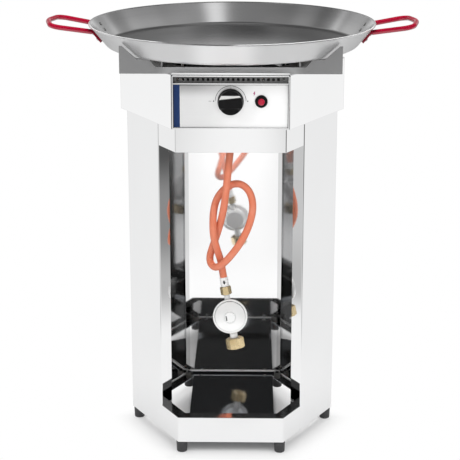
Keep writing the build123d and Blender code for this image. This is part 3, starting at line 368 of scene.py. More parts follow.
def matt_plate(name, colour):
    """Cut steel plate with a dull mill skin, painted shade on its tops, painted light in the middle and
    bright at its edges.
    """
    steel = Finish(name)
    skin = steel.noise(90, detail=5, roughness=0.65)
    cloud = steel.noise(11, detail=3)
    wear_and_highlight = steel.edges(0.8 * MM)
    # Painted shade: faces turned up are made near black.
    painted_top_shade = steel.between(steel.upright(), 0.3, 0.6)
    # Painted light: the middle of the plate is made paler.
    rubbed = 1 - steel.between(steel.unsigned(steel.axis("X")), 105 * MM, 150 * MM)
    darker = toned(colour, 0.85)
    brighter = toned(colour, 1.3)
    paler = toned(colour, 2)
    plain = steel.blend(rubbed, steel.blend(cloud, darker, colour), paler)
    return steel.surface({
        "Base Color": steel.blend(painted_top_shade, steel.blend(0.6 * wear_and_highlight, plain, brighter), (0.02, 0.02, 0.02)),
        "Metallic": 0.35,
        "Roughness": 0.40 + 0.14 * skin - 0.12 * wear_and_highlight,
        "Normal": steel.bump(skin, 0.02 * MM)})


def turned_metal(name, colour, dull, rough, metallic=1.0):
    """Machined metal with a dull skin in patches and bright edges."""
    metal = Finish(name)
    grain = metal.noise(260, detail=4)
    patches = metal.between(metal.noise(45, detail=5, roughness=0.6), 0.45, 0.7)
    wear_and_highlight = metal.edges(0.6 * MM)
    brighter = toned(colour, 1.12)
    return metal.surface({
        "Base Color": metal.blend(wear_and_highlight, metal.blend(patches, colour, dull), brighter),
        "Metallic": metallic,
        "Roughness": rough + 0.1 * patches + 0.06 * grain - 0.06 * wear_and_highlight,
        "Normal": metal.bump(grain, 0.012 * MM)})


def cast_iron(name, colour, rust):
    """Sand-cast iron with spots of rust."""
    iron = Finish(name)
    sand = iron.noise(420, detail=5, roughness=0.7)
    spots = iron.between(iron.noise(55, detail=6, roughness=0.65), 0.58, 0.72)
    return iron.surface({
        "Base Color": iron.blend(0.5 * spots, colour, rust),
        "Metallic": 0.0,
        "Roughness": 0.62 + 0.2 * sand,
        "Normal": iron.bump(sand, 0.25 * MM)})


# Finishes of the painted, plastic and rubber parts

def enamel(name, colour, worn_colour):
    """Thick gloss paint with a slight orange peel, thin along its edges, dulled by hands on top, and with
    painted shade where it is sheltered."""
    paint = Finish(name)
    peel = paint.noise(320, detail=2)
    cloud = paint.noise(24, detail=3)
    wear_and_highlight = paint.edges(0.7 * MM)
    # Painted shade: sheltered places are darkened and lose some of their coat.
    sheltered = 1 - paint.between(paint.openness(30 * MM), 0.45, 0.85)
    under = 1 - paint.between(paint.upright(), -0.2, 0.35)
    darker = toned(colour, 0.8)
    painted_shelter_colour = toned(colour, 0.25)
    plain = paint.blend(sheltered, paint.blend(cloud, darker, colour), painted_shelter_colour)
    return paint.surface({
        "Base Color": paint.blend(0.3 * wear_and_highlight, plain, worn_colour),
        "Roughness": 0.2 + 0.08 * cloud,
        "Specular IOR Level": 0.1,
        "Coat Weight": (0.15 + 0.75 * under) * (1 - 0.8 * sheltered),
        "Coat Roughness": 0.05,
        "Coat IOR": 1.8,
        "Normal": paint.bump(peel, 0.05 * MM)})


def moulded_plastic(name, colour, rough, sheen):
    """Moulded plastic with a fine spark-eroded grain and rubbed edges."""
    plastic = Finish(name)
    grain = plastic.noise(1400, detail=2)
    rubbed = plastic.edges(0.5 * MM)
    cloud = plastic.noise(60, detail=4)
    paler = toned(colour, 1.25, added=0.02)
    return plastic.surface({
        "Base Color": plastic.blend(0.6 * rubbed + 0.15 * cloud, colour, paler),
        "Roughness": rough + 0.08 * cloud - 0.06 * rubbed,
        "Specular IOR Level": sheen,
        "Normal": plastic.bump(grain, 0.02 * MM)})


def moulded_rubber(name, colour, bloom, rough):
    """Rubber with a pale bloom in patches."""
    rubber = Finish(name)
    grain = rubber.noise(900, detail=3)
    patches = rubber.between(rubber.noise(38, detail=5, roughness=0.6), 0.42, 0.72)
    return rubber.surface({
        "Base Color": rubber.blend(0.5 * patches, colour, bloom),
        "Roughness": rough + 0.12 * patches,
        "Normal": rubber.bump(grain, 0.03 * MM)})


def printed_ink(name, colour):
    """Screen print with a slightly uneven film."""
    ink = Finish(name)
    film = ink.noise(500, detail=4)
    paler = toned(colour, 1.1, added=0.004)
    return ink.surface({
        "Base Color": ink.blend(film, colour, paler),
        "Roughness": 0.42 + 0.12 * film,
        "Specular IOR Level": 0.2,
        "Normal": ink.bump(film, 0.01 * MM)})


def glazed_ceramic(name, colour):
    """White glaze with a few dull specks."""
    glaze = Finish(name)
    specks = glaze.between(glaze.noise(700, detail=3), 0.62, 0.7)
    return glaze.surface({
        "Base Color": glaze.blend(0.4 * specks, colour, (0.55, 0.52, 0.46)),
        "Roughness": 0.18 + 0.2 * specks,
        "Coat Weight": 0.3 - 0.2 * specks,
        "Normal": glaze.bump(specks, 0.02 * MM)})


finishes = {
    # Lit and shaded copies of one polished steel: the burner box, its sills, the lintel and the back panel
    # take lighter copies, painted light; the control frame and the bottle shelf take darker copies, painted
    # shade; the cabinet sheet has painted shade on its inner faces.
    "polished_sheet": polished_sheet("polished_sheet", (0.895, 0.897, 0.90), inside=0.82),
    "painted_light_copy": polished_sheet("painted_light_copy", (0.98, 0.981, 0.983)),
    "control_frame_steel": polished_sheet("control_frame_steel", (0.88, 0.882, 0.885)),
    "lintel_sheet": polished_sheet("lintel_sheet", (0.91, 0.911, 0.913)),
    "painted_light_back_copy": polished_sheet("painted_light_back_copy", (0.99, 0.991, 0.993), metallic=0.97, haze=0.06),
    "painted_shade_shelf_copy": polished_sheet("painted_shade_shelf_copy", (0.50, 0.52, 0.55), 0.012),
    "control_panel_steel": vented_panel("control_panel_steel", (0.98, 0.98, 0.98)),
    "deck_sheet": satin_sheet("deck_sheet", (0.86, 0.862, 0.865)),
    "pan_steel": turned_pan("pan_steel", (0.78, 0.78, 0.785), (0.84, 0.842, 0.845)),
    "handle_enamel": enamel("handle_enamel", (0.36, 0.0014, 0.025), (0.45, 0.012, 0.05)),
    "bar_steel": matt_plate("bar_steel", (0.27, 0.27, 0.272)),
    "bracket_steel": turned_metal("bracket_steel", (0.66, 0.66, 0.65), (0.52, 0.52, 0.5), 0.3),
    "knob_plastic": moulded_plastic("knob_plastic", (0.007, 0.007, 0.0073), 0.34, 0.06),
    "pointer_metal": silver_paint("pointer_metal", (0.86, 0.86, 0.84)),
    "button_plastic": moulded_plastic("button_plastic", (0.39, 0.005, 0.03), 0.16, 0.5),
    "brass": turned_metal("brass", (0.90, 0.72, 0.42), (0.80, 0.61, 0.33), 0.22, 0.88),
    "copper_tube": turned_metal("copper_tube", (0.78, 0.45, 0.30), (0.55, 0.30, 0.20), 0.26),
    "ceramic": glazed_ceramic("ceramic", (0.86, 0.85, 0.80)),
    "lead_sleeve": moulded_rubber("lead_sleeve", (0.05, 0.05, 0.055), (0.10, 0.10, 0.105), 0.45),
    "burner_iron": cast_iron("burner_iron", (0.055, 0.055, 0.056), (0.12, 0.065, 0.04)),
    "burner_tube_steel": turned_metal("burner_tube_steel", (0.60, 0.60, 0.60), (0.46, 0.45, 0.44), 0.34),
    "hose_rubber": moulded_rubber("hose_rubber", (0.64, 0.185, 0.10), (0.70, 0.26, 0.17), 0.4),
    "ferrule_metal": silver_paint("ferrule_metal", (0.98, 0.98, 0.97), 0.4),
    "regulator_metal": silver_paint("regulator_metal", (0.97, 0.97, 0.965), 0.42),
    "foot_rubber": moulded_rubber("foot_rubber", (0.035, 0.035, 0.037), (0.07, 0.07, 0.072), 0.55),
}
ink_blue = printed_ink("ink_blue", (0.007, 0.027, 0.10))
ink_black = printed_ink("ink_black", (0.02, 0.02, 0.022))
ink_red = printed_ink("ink_red", (0.30, 0.02, 0.12))
seam_shadow = moulded_rubber("seam_shadow", (0.05, 0.05, 0.052), (0.08, 0.08, 0.082), 0.6)
weld_metal = turned_metal("weld_metal", (0.62, 0.62, 0.61), (0.45, 0.44, 0.43), 0.36)
fold_metal = silver_paint("fold_metal", (0.90, 0.90, 0.90))

# Parts that take another finish: the lit and shaded copies of the polished steel, painted light and painted
# shade, and the satin deck.
OTHER_FINISH = {"burner_box_wall": "painted_light_copy", "front_lintel": "lintel_sheet", "back_panel": "painted_light_back_copy",
                "burner_deck": "deck_sheet", "bottle_shelf": "painted_shade_shelf_copy"}
for subpart in frame["record"]["subparts"]:
    finish = OTHER_FINISH.get(subpart["node"], subpart["material_slot"])
    for material_slot in nodes[subpart["node"]].material_slots:
        material_slot.material = finishes[finish]


# Mesh building

def in_mm(points):
    """Points given in millimetres, in metres."""
    return [(x * MM, y * MM) for x, y in points]


def on_ellipse(wide, tall, degrees):
    """Point of an ellipse about the origin, from its half width and half height."""
    angle = math.radians(degrees)
    return wide * math.cos(angle), tall * math.sin(angle)


def level_line(left, right, y, height):
    """Ends of a level line from left to right."""
    return Vector((left, y, height)), Vector((right, y, height))


def join_rings(shape, lower, upper):
    """Faces between two rings of corners, either of which may be a single point."""
    count = max(len(lower), len(upper))
    for index in range(count):
        after = (index + 1) % count
        corners = [lower[index % len(lower)], lower[after % len(lower)],
                   upper[after % len(upper)], upper[index % len(upper)]]
        shape.faces.new(list(dict.fromkeys(corners)))


def turned(shape, profile, steps=40):
    """Round body about +Z from (radius, height) pairs that start and end on the axis."""
    rings = []
    for radius, height in profile:
        count = steps if radius > 0 else 1
        angles = [2 * math.pi * index / count for index in range(count)]
        rings.append([shape.verts.new((radius * math.cos(angle), radius * math.sin(angle), height))
                      for angle in angles])
    for lower, upper in zip(rings, rings[1:]):
        join_rings(shape, lower, upper)


def prism(shape, outline, bottom, top):
    """Straight body on an outline of (x, y) points, from one height to another."""
    lower = [shape.verts.new((x, y, bottom)) for x, y in outline]
    upper = [shape.verts.new((x, y, top)) for x, y in outline]
    join_rings(shape, lower, upper)
    shape.faces.new(lower[::-1])
    shape.faces.new(upper)


def rail(shape, start, end, outward, section):
    """Straight body along a line, from a section of (across, outward) points."""
    along = (end - start).normalized()
    out = Vector(outward).normalized()
    across = along.cross(out)
    first, last = [[shape.verts.new(point + across * side + out * rise) for side, rise in section]
                   for point in (start, end)]
    join_rings(shape, first, last)
    shape.faces.new(first[::-1])
    shape.faces.new(last)


def flat_section(width, height):
    """Low strip with sloped sides."""
    foot, top = width / 2, width / 2 - height / 2
    return [(-foot, 0), (foot, 0), (top, height), (-top, height)]


def round_section(radius, first=-25, last=205, lift=0.42, steps=10):
    """Bead that sits on a surface, a little more than half round."""
    angles = [math.radians(first + (last - first) * index / steps) for index in range(steps + 1)]
    return [(radius * math.cos(angle), radius * (lift + math.sin(angle))) for angle in angles]


def repeated(draw, places):
    """One mesh that holds the drawn body at each place."""
    whole = bmesh.new()
    for place in places:
        single = bmesh.new()
        draw(single)
        bmesh.ops.transform(single, matrix=place, verts=single.verts)
        copy = bpy.data.meshes.new("single")
        single.to_mesh(copy)
        single.free()
        whole.from_mesh(copy)
        bpy.data.meshes.remove(copy)
    return whole


def piece(name, shape, finish, body, sharp=35):
    """Object from a built mesh, riding on a body."""
    bmesh.ops.recalc_face_normals(shape, faces=shape.faces)
    mesh = bpy.data.meshes.new(name)
    shape.to_mesh(mesh)
    shape.free()
    mesh.shade_smooth()
    mesh.set_sharp_from_angle(angle=math.radians(sharp))
    mesh.materials.append(finish)
    made = bpy.data.objects.new(name, mesh)
    bpy.context.collection.objects.link(made)
    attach(made, body)
    return made


def facing(point, direction, up=(0, 0, 1)):
    """Place whose +Z points along a direction and whose +Y is nearest to up."""
    ahead = Vector(direction).normalized()
    across = Vector(up).cross(ahead).normalized()
    columns = (across, ahead.cross(across), ahead)
    turn = Matrix([list(row) for row in zip(*columns)]).to_4x4()
    return Matrix.Translation(Vector(point)) @ turn


def middle(node):
    """Middle of a CAD part's box."""
    low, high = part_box(node)
    return (low + high) / 2


# Gas hose and its crimped sleeves

curve = bpy.data.curves.new("gas_hose_tube", "CURVE")
curve.dimensions = "3D"
curve.bevel_depth = HOSE_DIAMETER / 2
curve.bevel_resolution = 8
curve.resolution_u = 10
curve.use_fill_caps = True
route = curve.splines.new("NURBS")
route.points.add(len(HOSE_BENDS) - 1)
for control, bend in zip(route.points, HOSE_BENDS):
    control.co = (*(HOSE_TOP + Vector(bend) * MM), 1)
route.order_u = 3
route.use_endpoint_u = True
curve.materials.append(finishes["hose_rubber"])
hose = bpy.data.objects.new("gas_hose_tube", curve)
bpy.context.collection.objects.link(hose)
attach(hose, "stand")
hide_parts("gas_hose")


def crimped_sleeve(length):
    """Pressed sleeve with three crimp grooves and rolled ends."""
    groove = SLEEVE_RADIUS - CRIMP_DEPTH
    rolled = SLEEVE_RADIUS - ROLLED_END
    inside = HOSE_DIAMETER / 2 - 0.2 * MM
    mouth = length - 1.5 * MM
    profile = [(0, 0), (rolled, 0), (SLEEVE_RADIUS, ROLLED_END)]
    for share in (0.25, 0.5, 0.75):
        for step, radius in ((-1.6, SLEEVE_RADIUS), (-0.8, groove), (0.8, groove), (1.6, SLEEVE_RADIUS)):
            profile.append((radius, share * length + step * MM))
    profile += [(SLEEVE_RADIUS, length - ROLLED_END), (rolled, length), (inside, length),
                (inside, mouth), (0, mouth)]
    return lambda shape: turned(shape, profile)


hose_end = HOSE_TOP + Vector(HOSE_BENDS[-1]) * MM
upper_place = facing(HOSE_TOP, (0, 0, -1), (0, 1, 0))
upper_sleeve = piece("upper_sleeve", repeated(crimped_sleeve(UPPER_SLEEVE_LENGTH), [upper_place]),
                     finishes["ferrule_metal"], "stand", sharp=50)
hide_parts("upper_ferrule")
lower_place = facing(hose_end, -HOSE_END_AXIS, (0, 1, 0))
lower_sleeve = piece("lower_sleeve", repeated(crimped_sleeve(LOWER_SLEEVE_LENGTH), [lower_place]),
                     finishes["ferrule_metal"], "stand", sharp=50)
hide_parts("lower_ferrule")


# Shadow line of the joint and painted shade of the slot on the regulator's cover, and the dark mark on the
# lower sleeve

REGULATOR_MIDDLE = 62 * MM
REGULATOR_FORWARD = 9 * MM
COVER_FOOT = 3.5 * MM
COVER_RADIUS = 31.8 * MM
BOSS_TOP = COVER_FOOT + 10 * MM
SLOT_OUTLINE = [(-8.6, -6.5), (-6.2, -6.5), (-6.2, 3.5), (-8.6, 3.5)]
MARK_HALF_WIDTH = 2.3 * MM
MARK_HALF_HEIGHT = 4 * MM
regulator_side = Vector((0, -1, 0)).cross(HOSE_END_AXIS).normalized()
regulator_front = HOSE_END_AXIS.cross(regulator_side)
disc_place = facing(hose_end + HOSE_END_AXIS * REGULATOR_MIDDLE + regulator_front * REGULATOR_FORWARD,
                    regulator_front, -HOSE_END_AXIS)


def joint_ring(shape):
    """Shadow line where the cover meets the body."""
    inner, outer = COVER_RADIUS - 0.1 * MM, COVER_RADIUS + 0.45 * MM
    foot, top = COVER_FOOT - 0.2 * MM, COVER_FOOT + 0.12 * MM
    profile = [(0, foot), (outer, foot), (outer, top), (inner, top), (inner, COVER_FOOT), (0, COVER_FOOT)]
    turned(shape, profile, steps=72)


def cap_slot(shape):
    """Dark piece in place of a key slot in the cover's boss: painted shade of the slot."""
    prism(shape, in_mm(SLOT_OUTLINE), BOSS_TOP - 0.3 * MM, BOSS_TOP + 0.1 * MM)


def dark_oval_mark(shape):
    """Dark oval mark on the front of the lower sleeve."""
    outline = [on_ellipse(MARK_HALF_WIDTH, MARK_HALF_HEIGHT, degrees) for degrees in range(0, 360, 15)]
    prism(shape, outline, -0.6 * MM, 0.05 * MM)


sleeve_front = hose_end - HOSE_END_AXIS * LOWER_SLEEVE_LENGTH / 2 + regulator_front * SLEEVE_RADIUS
mark_place = facing(sleeve_front, regulator_front, -HOSE_END_AXIS)
piece("sleeve_mark", repeated(dark_oval_mark, [mark_place]), seam_shadow, "stand")
piece("regulator_joint", repeated(joint_ring, [disc_place]), seam_shadow, "stand")
piece("regulator_slot", repeated(cap_slot, [disc_place]), seam_shadow, "stand")


# Print on the control panel

panel_low, panel_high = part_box("control_panel")
panel_front = panel_low.y
knob_centre = middle("control_knob")
dial = (knob_centre.x, knob_centre.z)
INK_FILM = 0.08 * MM
BAND_INSET = 0.8 * MM
BAND_WIDTH = 12.4 * MM
BAND_FOOT = 0.5 * MM
BAND_BELOW_LEDGE = 1.2 * MM
SCALE_RADIUS = 30.7 * MM
SCALE_WIDTH = 1.0 * MM
SCALE_ENDS = (2, 178)
DOT_REACH = 34 * MM
DOT_RADIUS = 1.3 * MM
DASH_ENDS = (44 * MM, 38.5 * MM)
DASH_HALF_WIDTH = 0.35 * MM
SPARK = [(0.2, 4.6), (-2.7, -0.5), (-0.4, -0.3), (-1.6, -4.9), (2.5, 0.9), (0.3, 0.7), (2.0, 4.6)]
SPARK_ASIDE = 47 * MM
SPARK_ABOVE_DIAL = 15 * MM


def print_piece(name, outlines, ink):
    """Ink film on the panel from outlines in panel x and height."""
    place = Matrix.Translation((0, panel_front, 0)) @ Matrix.Rotation(math.radians(90), 4, "X")
    whole = bmesh.new()
    for outline in outlines:
        prism(whole, outline, 0, INK_FILM)
    bmesh.ops.transform(whole, matrix=place, verts=whole.verts)
    piece(name, whole, ink, "stand")


def moved(points, centre):
    """An outline drawn about the origin, moved to its centre."""
    return [(centre[0] + x, centre[1] + y) for x, y in points]


def arc_band(centre, radius, width, first, last, steps=48):
    """Outline of a band along an arc, with its angles in degrees from +x."""
    angles = [first + (last - first) * index / steps for index in range(steps + 1)]
    outer = [on_ellipse(radius + width / 2, radius + width / 2, degrees) for degrees in angles]
    inner = [on_ellipse(radius - width / 2, radius - width / 2, degrees) for degrees in reversed(angles)]
    return moved(outer + inner, centre)


def disc(centre, radius, steps=20):
    """Outline of a round dot."""
    return moved([on_ellipse(radius, radius, 360 * index / steps) for index in range(steps)], centre)


def strip(left, bottom, right, top):
    """Outline of an upright rectangle."""
    return [(left, bottom), (right, bottom), (right, top), (left, top)]


band_left = panel_low.x + BAND_INSET
band = strip(band_left, panel_low.z + BAND_FOOT, band_left + BAND_WIDTH, LEDGE_HEIGHT - BAND_BELOW_LEDGE)
print_piece("panel_band", [band], ink_blue)
dash_left, dash_right = [dial[0] - end for end in DASH_ENDS]
print_piece("panel_scale", [
    arc_band(dial, SCALE_RADIUS, SCALE_WIDTH, *SCALE_ENDS),
    disc((dial[0] - DOT_REACH, dial[1]), DOT_RADIUS),
    strip(dash_left, dial[1] - DASH_HALF_WIDTH, dash_right, dial[1] + DASH_HALF_WIDTH),
    disc((dial[0] + DOT_REACH, dial[1]), DOT_RADIUS),
], ink_black)
print_piece("panel_spark", [moved(in_mm(SPARK), (SPARK_ASIDE, dial[1] + SPARK_ABOVE_DIAL))], ink_red)


# Sills of the box and of the panel's ledge, and the joint lines round the control frame

SILL_SECTION = [(0, 0), (-1, 0), (-1, 4.6), (-0.7, 5), (-0.2, 5), (0, 4.7)]
LIP_SECTION = [(0, 0), (-0.8, 0), (-0.8, 1.7), (-0.4, 2.1), (0, 1.8)]
SILL_SEAT = 0.4 * MM
JOINT_HEIGHT = 0.12 * MM
SILL_JOINT_WIDTH = 1.1 * MM
PANEL_JOINT_WIDTH = 1.6 * MM
CORNER_RADIUS = 1.5 * MM
CORNER_HEIGHT = 0.2 * MM
frame_low, frame_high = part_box("control_frame")
sill_foot = deck_top - SILL_SEAT
sills = bmesh.new()
rail(sills, *level_line(frame_low.x, frame_high.x, frame_low.y, sill_foot), (0, 0, 1), in_mm(SILL_SECTION))
rail(sills, *level_line(panel_low.x, panel_high.x, panel_front, LEDGE_HEIGHT - SILL_SEAT),
     (0, 0, 1), in_mm(LIP_SECTION))
# The sills take the lighter copy of the polished steel, painted light.
piece("front_sills", sills, finishes["painted_light_copy"], "stand", sharp=15)

joints = bmesh.new()
rail(joints, *level_line(frame_low.x, frame_high.x, frame_low.y, sill_foot + 0.8 * MM),
     (0, -1, 0), flat_section(SILL_JOINT_WIDTH, JOINT_HEIGHT))
for x in (panel_low.x, panel_high.x):
    rail(joints, Vector((x, panel_front, panel_low.z)), Vector((x, panel_front, LEDGE_HEIGHT)),
         (0, -1, 0), flat_section(PANEL_JOINT_WIDTH, JOINT_HEIGHT))
for x in (frame_low.x, frame_high.x):
    corner_dot = disc((x, frame_high.z), CORNER_RADIUS)
    lower = [joints.verts.new((across, frame_low.y, height)) for across, height in corner_dot]
    upper = [joints.verts.new((across, frame_low.y - CORNER_HEIGHT, height)) for across, height in corner_dot]
    join_rings(joints, lower, upper)
    joints.faces.new(upper)
    joints.faces.new(lower[::-1])
piece("frame_joints", joints, seam_shadow, "stand")


# Rivets through the pan and the handles' tabs

def rivet_head(radius, height, seat=0.3 * MM):
    """Domed head that is let into the sheet by its seat."""
    dome = [on_ellipse(radius, height, degrees) for degrees in (0, 25, 50, 70)]
    return lambda shape: turned(shape, [(0, -seat), (radius, -seat), *dome, (0, height)], steps=24)


wall_run = Vector((PAN_FLARE - RIM_BEAD / 2, 0, pan_high.z - pan_low.z - RIM_BEAD / 2)).normalized()


def rivet_places(outside):
    """Places of the rivet heads, two on each tab, outside on the tabs or inside on the pan's wall."""
    middle_height = pan_high.z - TAB_BELOW_RIM
    reach = pan_high.x - PAN_FLARE + wall_run.x / wall_run.z * (middle_height - pan_low.z)
    places = []
    for side_x in (-1, 1):
        for side_y in (-1, 1):
            turn = side_y * TAB_HALF_SPACING / reach
            outward = Vector((side_x * math.sqrt(1 - turn * turn), turn, 0))
            normal = outward * wall_run.z - Vector((0, 0, wall_run.x))
            up_wall = outward * wall_run.x + Vector((0, 0, wall_run.z))
            foot = outward * reach + Vector((0, 0, middle_height))
            foot += normal * (TAB_THICKNESS if outside else -PAN_SHEET)
            for step in (-RIVET_PITCH / 2, RIVET_PITCH / 2):
                places.append(facing(foot + up_wall * step, normal if outside else -normal))
    return places


tab_head = rivet_head(radius=4 * MM, height=2 * MM)
piece("tab_rivets", repeated(tab_head, rivet_places(outside=True)), finishes["bracket_steel"],
      "pan", sharp=60)
wall_head = rivet_head(radius=4.5 * MM, height=1.6 * MM)
piece("pan_rivets", repeated(wall_head, rivet_places(outside=False)), finishes["bracket_steel"],
      "pan", sharp=60)


# Foot nuts, screws, rivets, folds and welds of the stand

WASHER_PROFILE = [(0, 0), (8, 0), (8, 1.2), (7.7, 1.5), (0, 1.5)]
WASHER_TOP = 1.5 * MM
NUT_TOP = 7.5 * MM
NUT_ACROSS_FLATS = 13 * MM
SCREW_PROFILE = [(0, -0.2), (3.6, -0.2), (3.6, 0.9), (2.8, 1.8), (1.6, 2.1), (1.3, 1.3), (0, 1.2)]
SCREW_ASIDE = 75 * MM
SCREW_INSET = 16 * MM
BACK_RIVET_INSET = 13 * MM
BACK_RIVET_SHARES = (0.06, 0.28, 0.5, 0.72, 0.94)
BOX_RIVET_HEIGHT = 14 * MM
BOX_RIVET_PITCH = 90 * MM
UPSTAND_HEIGHT = 5 * MM
UPSTAND_SEAT = 0.2 * MM
WELD_RADIUS = 1.8 * MM
WELD_ASIDE = 95 * MM
WELD_HALF_LENGTH = 12 * MM
BAR_TOP = deck_top + 13.5 * MM


def foot_fixing(shape):
    """Washer with a hexagon nut on it."""
    turned(shape, in_mm(WASHER_PROFILE))
    corner = NUT_ACROSS_FLATS / math.sqrt(3)
    prism(shape, [on_ellipse(corner, corner, degrees) for degrees in range(0, 360, 60)], WASHER_TOP, NUT_TOP)


def pan_head_screw(shape):
    """Low round head with a round recess."""
    turned(shape, in_mm(SCREW_PROFILE), steps=24)


FEET = ("foot_right", "foot_rear_right", "foot_rear_left", "foot_left", "foot_front_left", "foot_front_right")
shelf_low, shelf_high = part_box("bottle_shelf")
flange_top = shelf_high.z - SHEET
foot_places = [Matrix.Translation((middle(foot).x, middle(foot).y, flange_top)) for foot in FEET]
piece("foot_nuts", repeated(foot_fixing, foot_places), finishes["bracket_steel"], "stand")

shelf_screws = [Matrix.Translation((x, y, shelf_high.z))
                for x in (-SCREW_ASIDE, SCREW_ASIDE)
                for y in (shelf_low.y + SCREW_INSET, shelf_high.y - SCREW_INSET)]
piece("shelf_screws", repeated(pan_head_screw, shelf_screws), finishes["bracket_steel"],
      "stand", sharp=40)

back_low, back_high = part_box("back_panel")
box_low, box_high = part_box("burner_box_wall")
rivet_points = [(side * (back_high.x - BACK_RIVET_INSET), back_high.y,
                 back_low.z + share * (back_high.z - back_low.z))
                for side in (-1, 1) for share in BACK_RIVET_SHARES]
rivet_points += [(x, box_high.y, box_low.z + BOX_RIVET_HEIGHT)
                 for x in (-BOX_RIVET_PITCH, 0, BOX_RIVET_PITCH)]
back_head = rivet_head(radius=4 * MM, height=1.4 * MM)
back_places = [facing(point, (0, 1, 0)) for point in rivet_points]
piece("back_rivets", repeated(back_head, back_places), finishes["bracket_steel"],
      "stand", sharp=60)


def hexagon_corner(index, inset):
    """Corner of the cabinet, from the right-hand one, moved inward from both facets."""
    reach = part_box("side_panel_right")[1].x - inset / math.cos(math.radians(30))
    return Vector((*on_ellipse(reach, reach, 60 * index), 0))


def corner_line(corners, inset, height):
    """Line between two corners of the cabinet at one height."""
    return [hexagon_corner(index, inset) + Vector((0, 0, height)) for index in corners]


REAR_CORNERS = (2, 1)
FRONT_CORNERS = (5, 4)
LEFT_CORNERS = (2, 3)
RIGHT_CORNERS = (1, 0)
upstand_foot = shelf_high.z - UPSTAND_SEAT
upstand = bmesh.new()
rail(upstand, *corner_line(REAR_CORNERS, 2 * SHEET, upstand_foot), (0, 0, 1),
     [(0, 0), (SHEET, 0), (SHEET, UPSTAND_HEIGHT), (0, UPSTAND_HEIGHT)])
# The upstand takes the shelf's darker copy of the polished steel, painted shade.
piece("shelf_upstand", upstand, finishes["painted_shade_shelf_copy"], "stand")

folds = bmesh.new()
rail(folds, *corner_line(REAR_CORNERS, 2 * SHEET, upstand_foot + 4.6 * MM),
     (0, -0.3, 1), round_section(2.1 * MM))
rail(folds, *corner_line(FRONT_CORNERS, 2 * SHEET, shelf_high.z), (0, 0.5, 1), round_section(1.5 * MM))
for corners in (LEFT_CORNERS, RIGHT_CORNERS):
    rail(folds, *corner_line(corners, SHEET, flange_top), (0, 0, 1), round_section(1.6 * MM))
piece("wall_folds", folds, fold_metal, "stand", sharp=60)

welds = bmesh.new()
for bar in ("pan_cross_bar_left", "pan_cross_bar_right"):
    bar_low, bar_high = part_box(bar)
    for x, side in ((bar_low.x, -1), (bar_high.x, 1)):
        for y, inward in ((bar_low.y, 1), (bar_high.y, -1)):
            rail(welds, Vector((x, y, deck_top + 1 * MM)), Vector((x, y, BAR_TOP - 1 * MM)),
                 (side, inward, 0), round_section(WELD_RADIUS))
for bar, inward in (("pan_bar_front", 1), ("pan_bar_rear", -1)):
    bar_low, bar_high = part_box(bar)
    y = bar_high.y if inward > 0 else bar_low.y
    for x in (-WELD_ASIDE, WELD_ASIDE):
        rail(welds, *level_line(x - WELD_HALF_LENGTH, x + WELD_HALF_LENGTH, y, deck_top),
             (0, inward, 1), round_section(WELD_RADIUS))
piece("bar_welds", welds, weld_metal, "stand", sharp=60)


# Floor, studio light and camera

HEXAGON_COS, HEXAGON_SIN = 0.866, 0.5
FLOOR_GREY = (0.86, 0.86, 0.86)
SHADOW_GREY = (0.62, 0.62, 0.62)
WHITE, BLACK = (1, 1, 1), (0, 0, 0)
FLOOR_OUTLINE = [(-9, -9), (9, -9), (9, 14), (-9, 14)]
FLOOR_THICKNESS = 0.02
PATCH_EDGE = 0.05
SOFT_LIGHT = 0.5
# Each patch: its strength, then its ranges of a direction's x, y and z.
PATCHES = [
    (0.75, (0.08, 0.26), (-1.1, -0.14), (0.79, 1.1)),
    (0.9, (-0.74, -0.48), (-1.1, -0.42), (0.42, 1.1)),
    (0.7, (0.54, 0.78), (-1.1, -0.38), (0.42, 1.1)),
    (0.17, (0.58, 0.8), (0.0, 0.5), (0.5, 0.78)),
    (0.15, (-0.72, -0.55), (-0.12, 0.2), (0.68, 0.82)),
    (0.2, (-0.72, -0.4), (0.6, 0.92), (0.15, 0.5)),
    (0.12, (0.3, 0.6), (0.72, 0.95), (0.12, 0.4)),
    (0.3, (0.45, 0.65), (0.73, 0.79), (0.15, 0.45)),
    (0.5, (-0.75, -0.5), (0.46, 0.54), (0.35, 0.6)),
    (0.15, (0.74, 1.1), (-0.7, -0.35), (0.25, 0.36)),
    (0.15, (-1.1, -0.74), (-0.7, -0.35), (0.25, 0.36)),
]
# Each lamp: its name, its place, the point it is aimed at, its width and height, and its power.
LAMPS = [
    ("key", (-2.4, -2.2, 3.1), (0, 0, 0.5), (1.8, 1.8), 60),
    ("fill", (2.6, -2.0, 2.9), (0, 0, 0.5), (1.8, 1.8), 48),
    ("front", (0.5, -4.0, 1.5), (0, 0, 0.6), (2.4, 1.4), 40),
    ("top", (0, 0.8, 3.4), (0, 0, 0.6), (2.4, 1.6), 55),
    ("inner", (0, 0.15, 0.66), (0, -0.12, 0.42), (0.16, 0.06), 1.7),
]


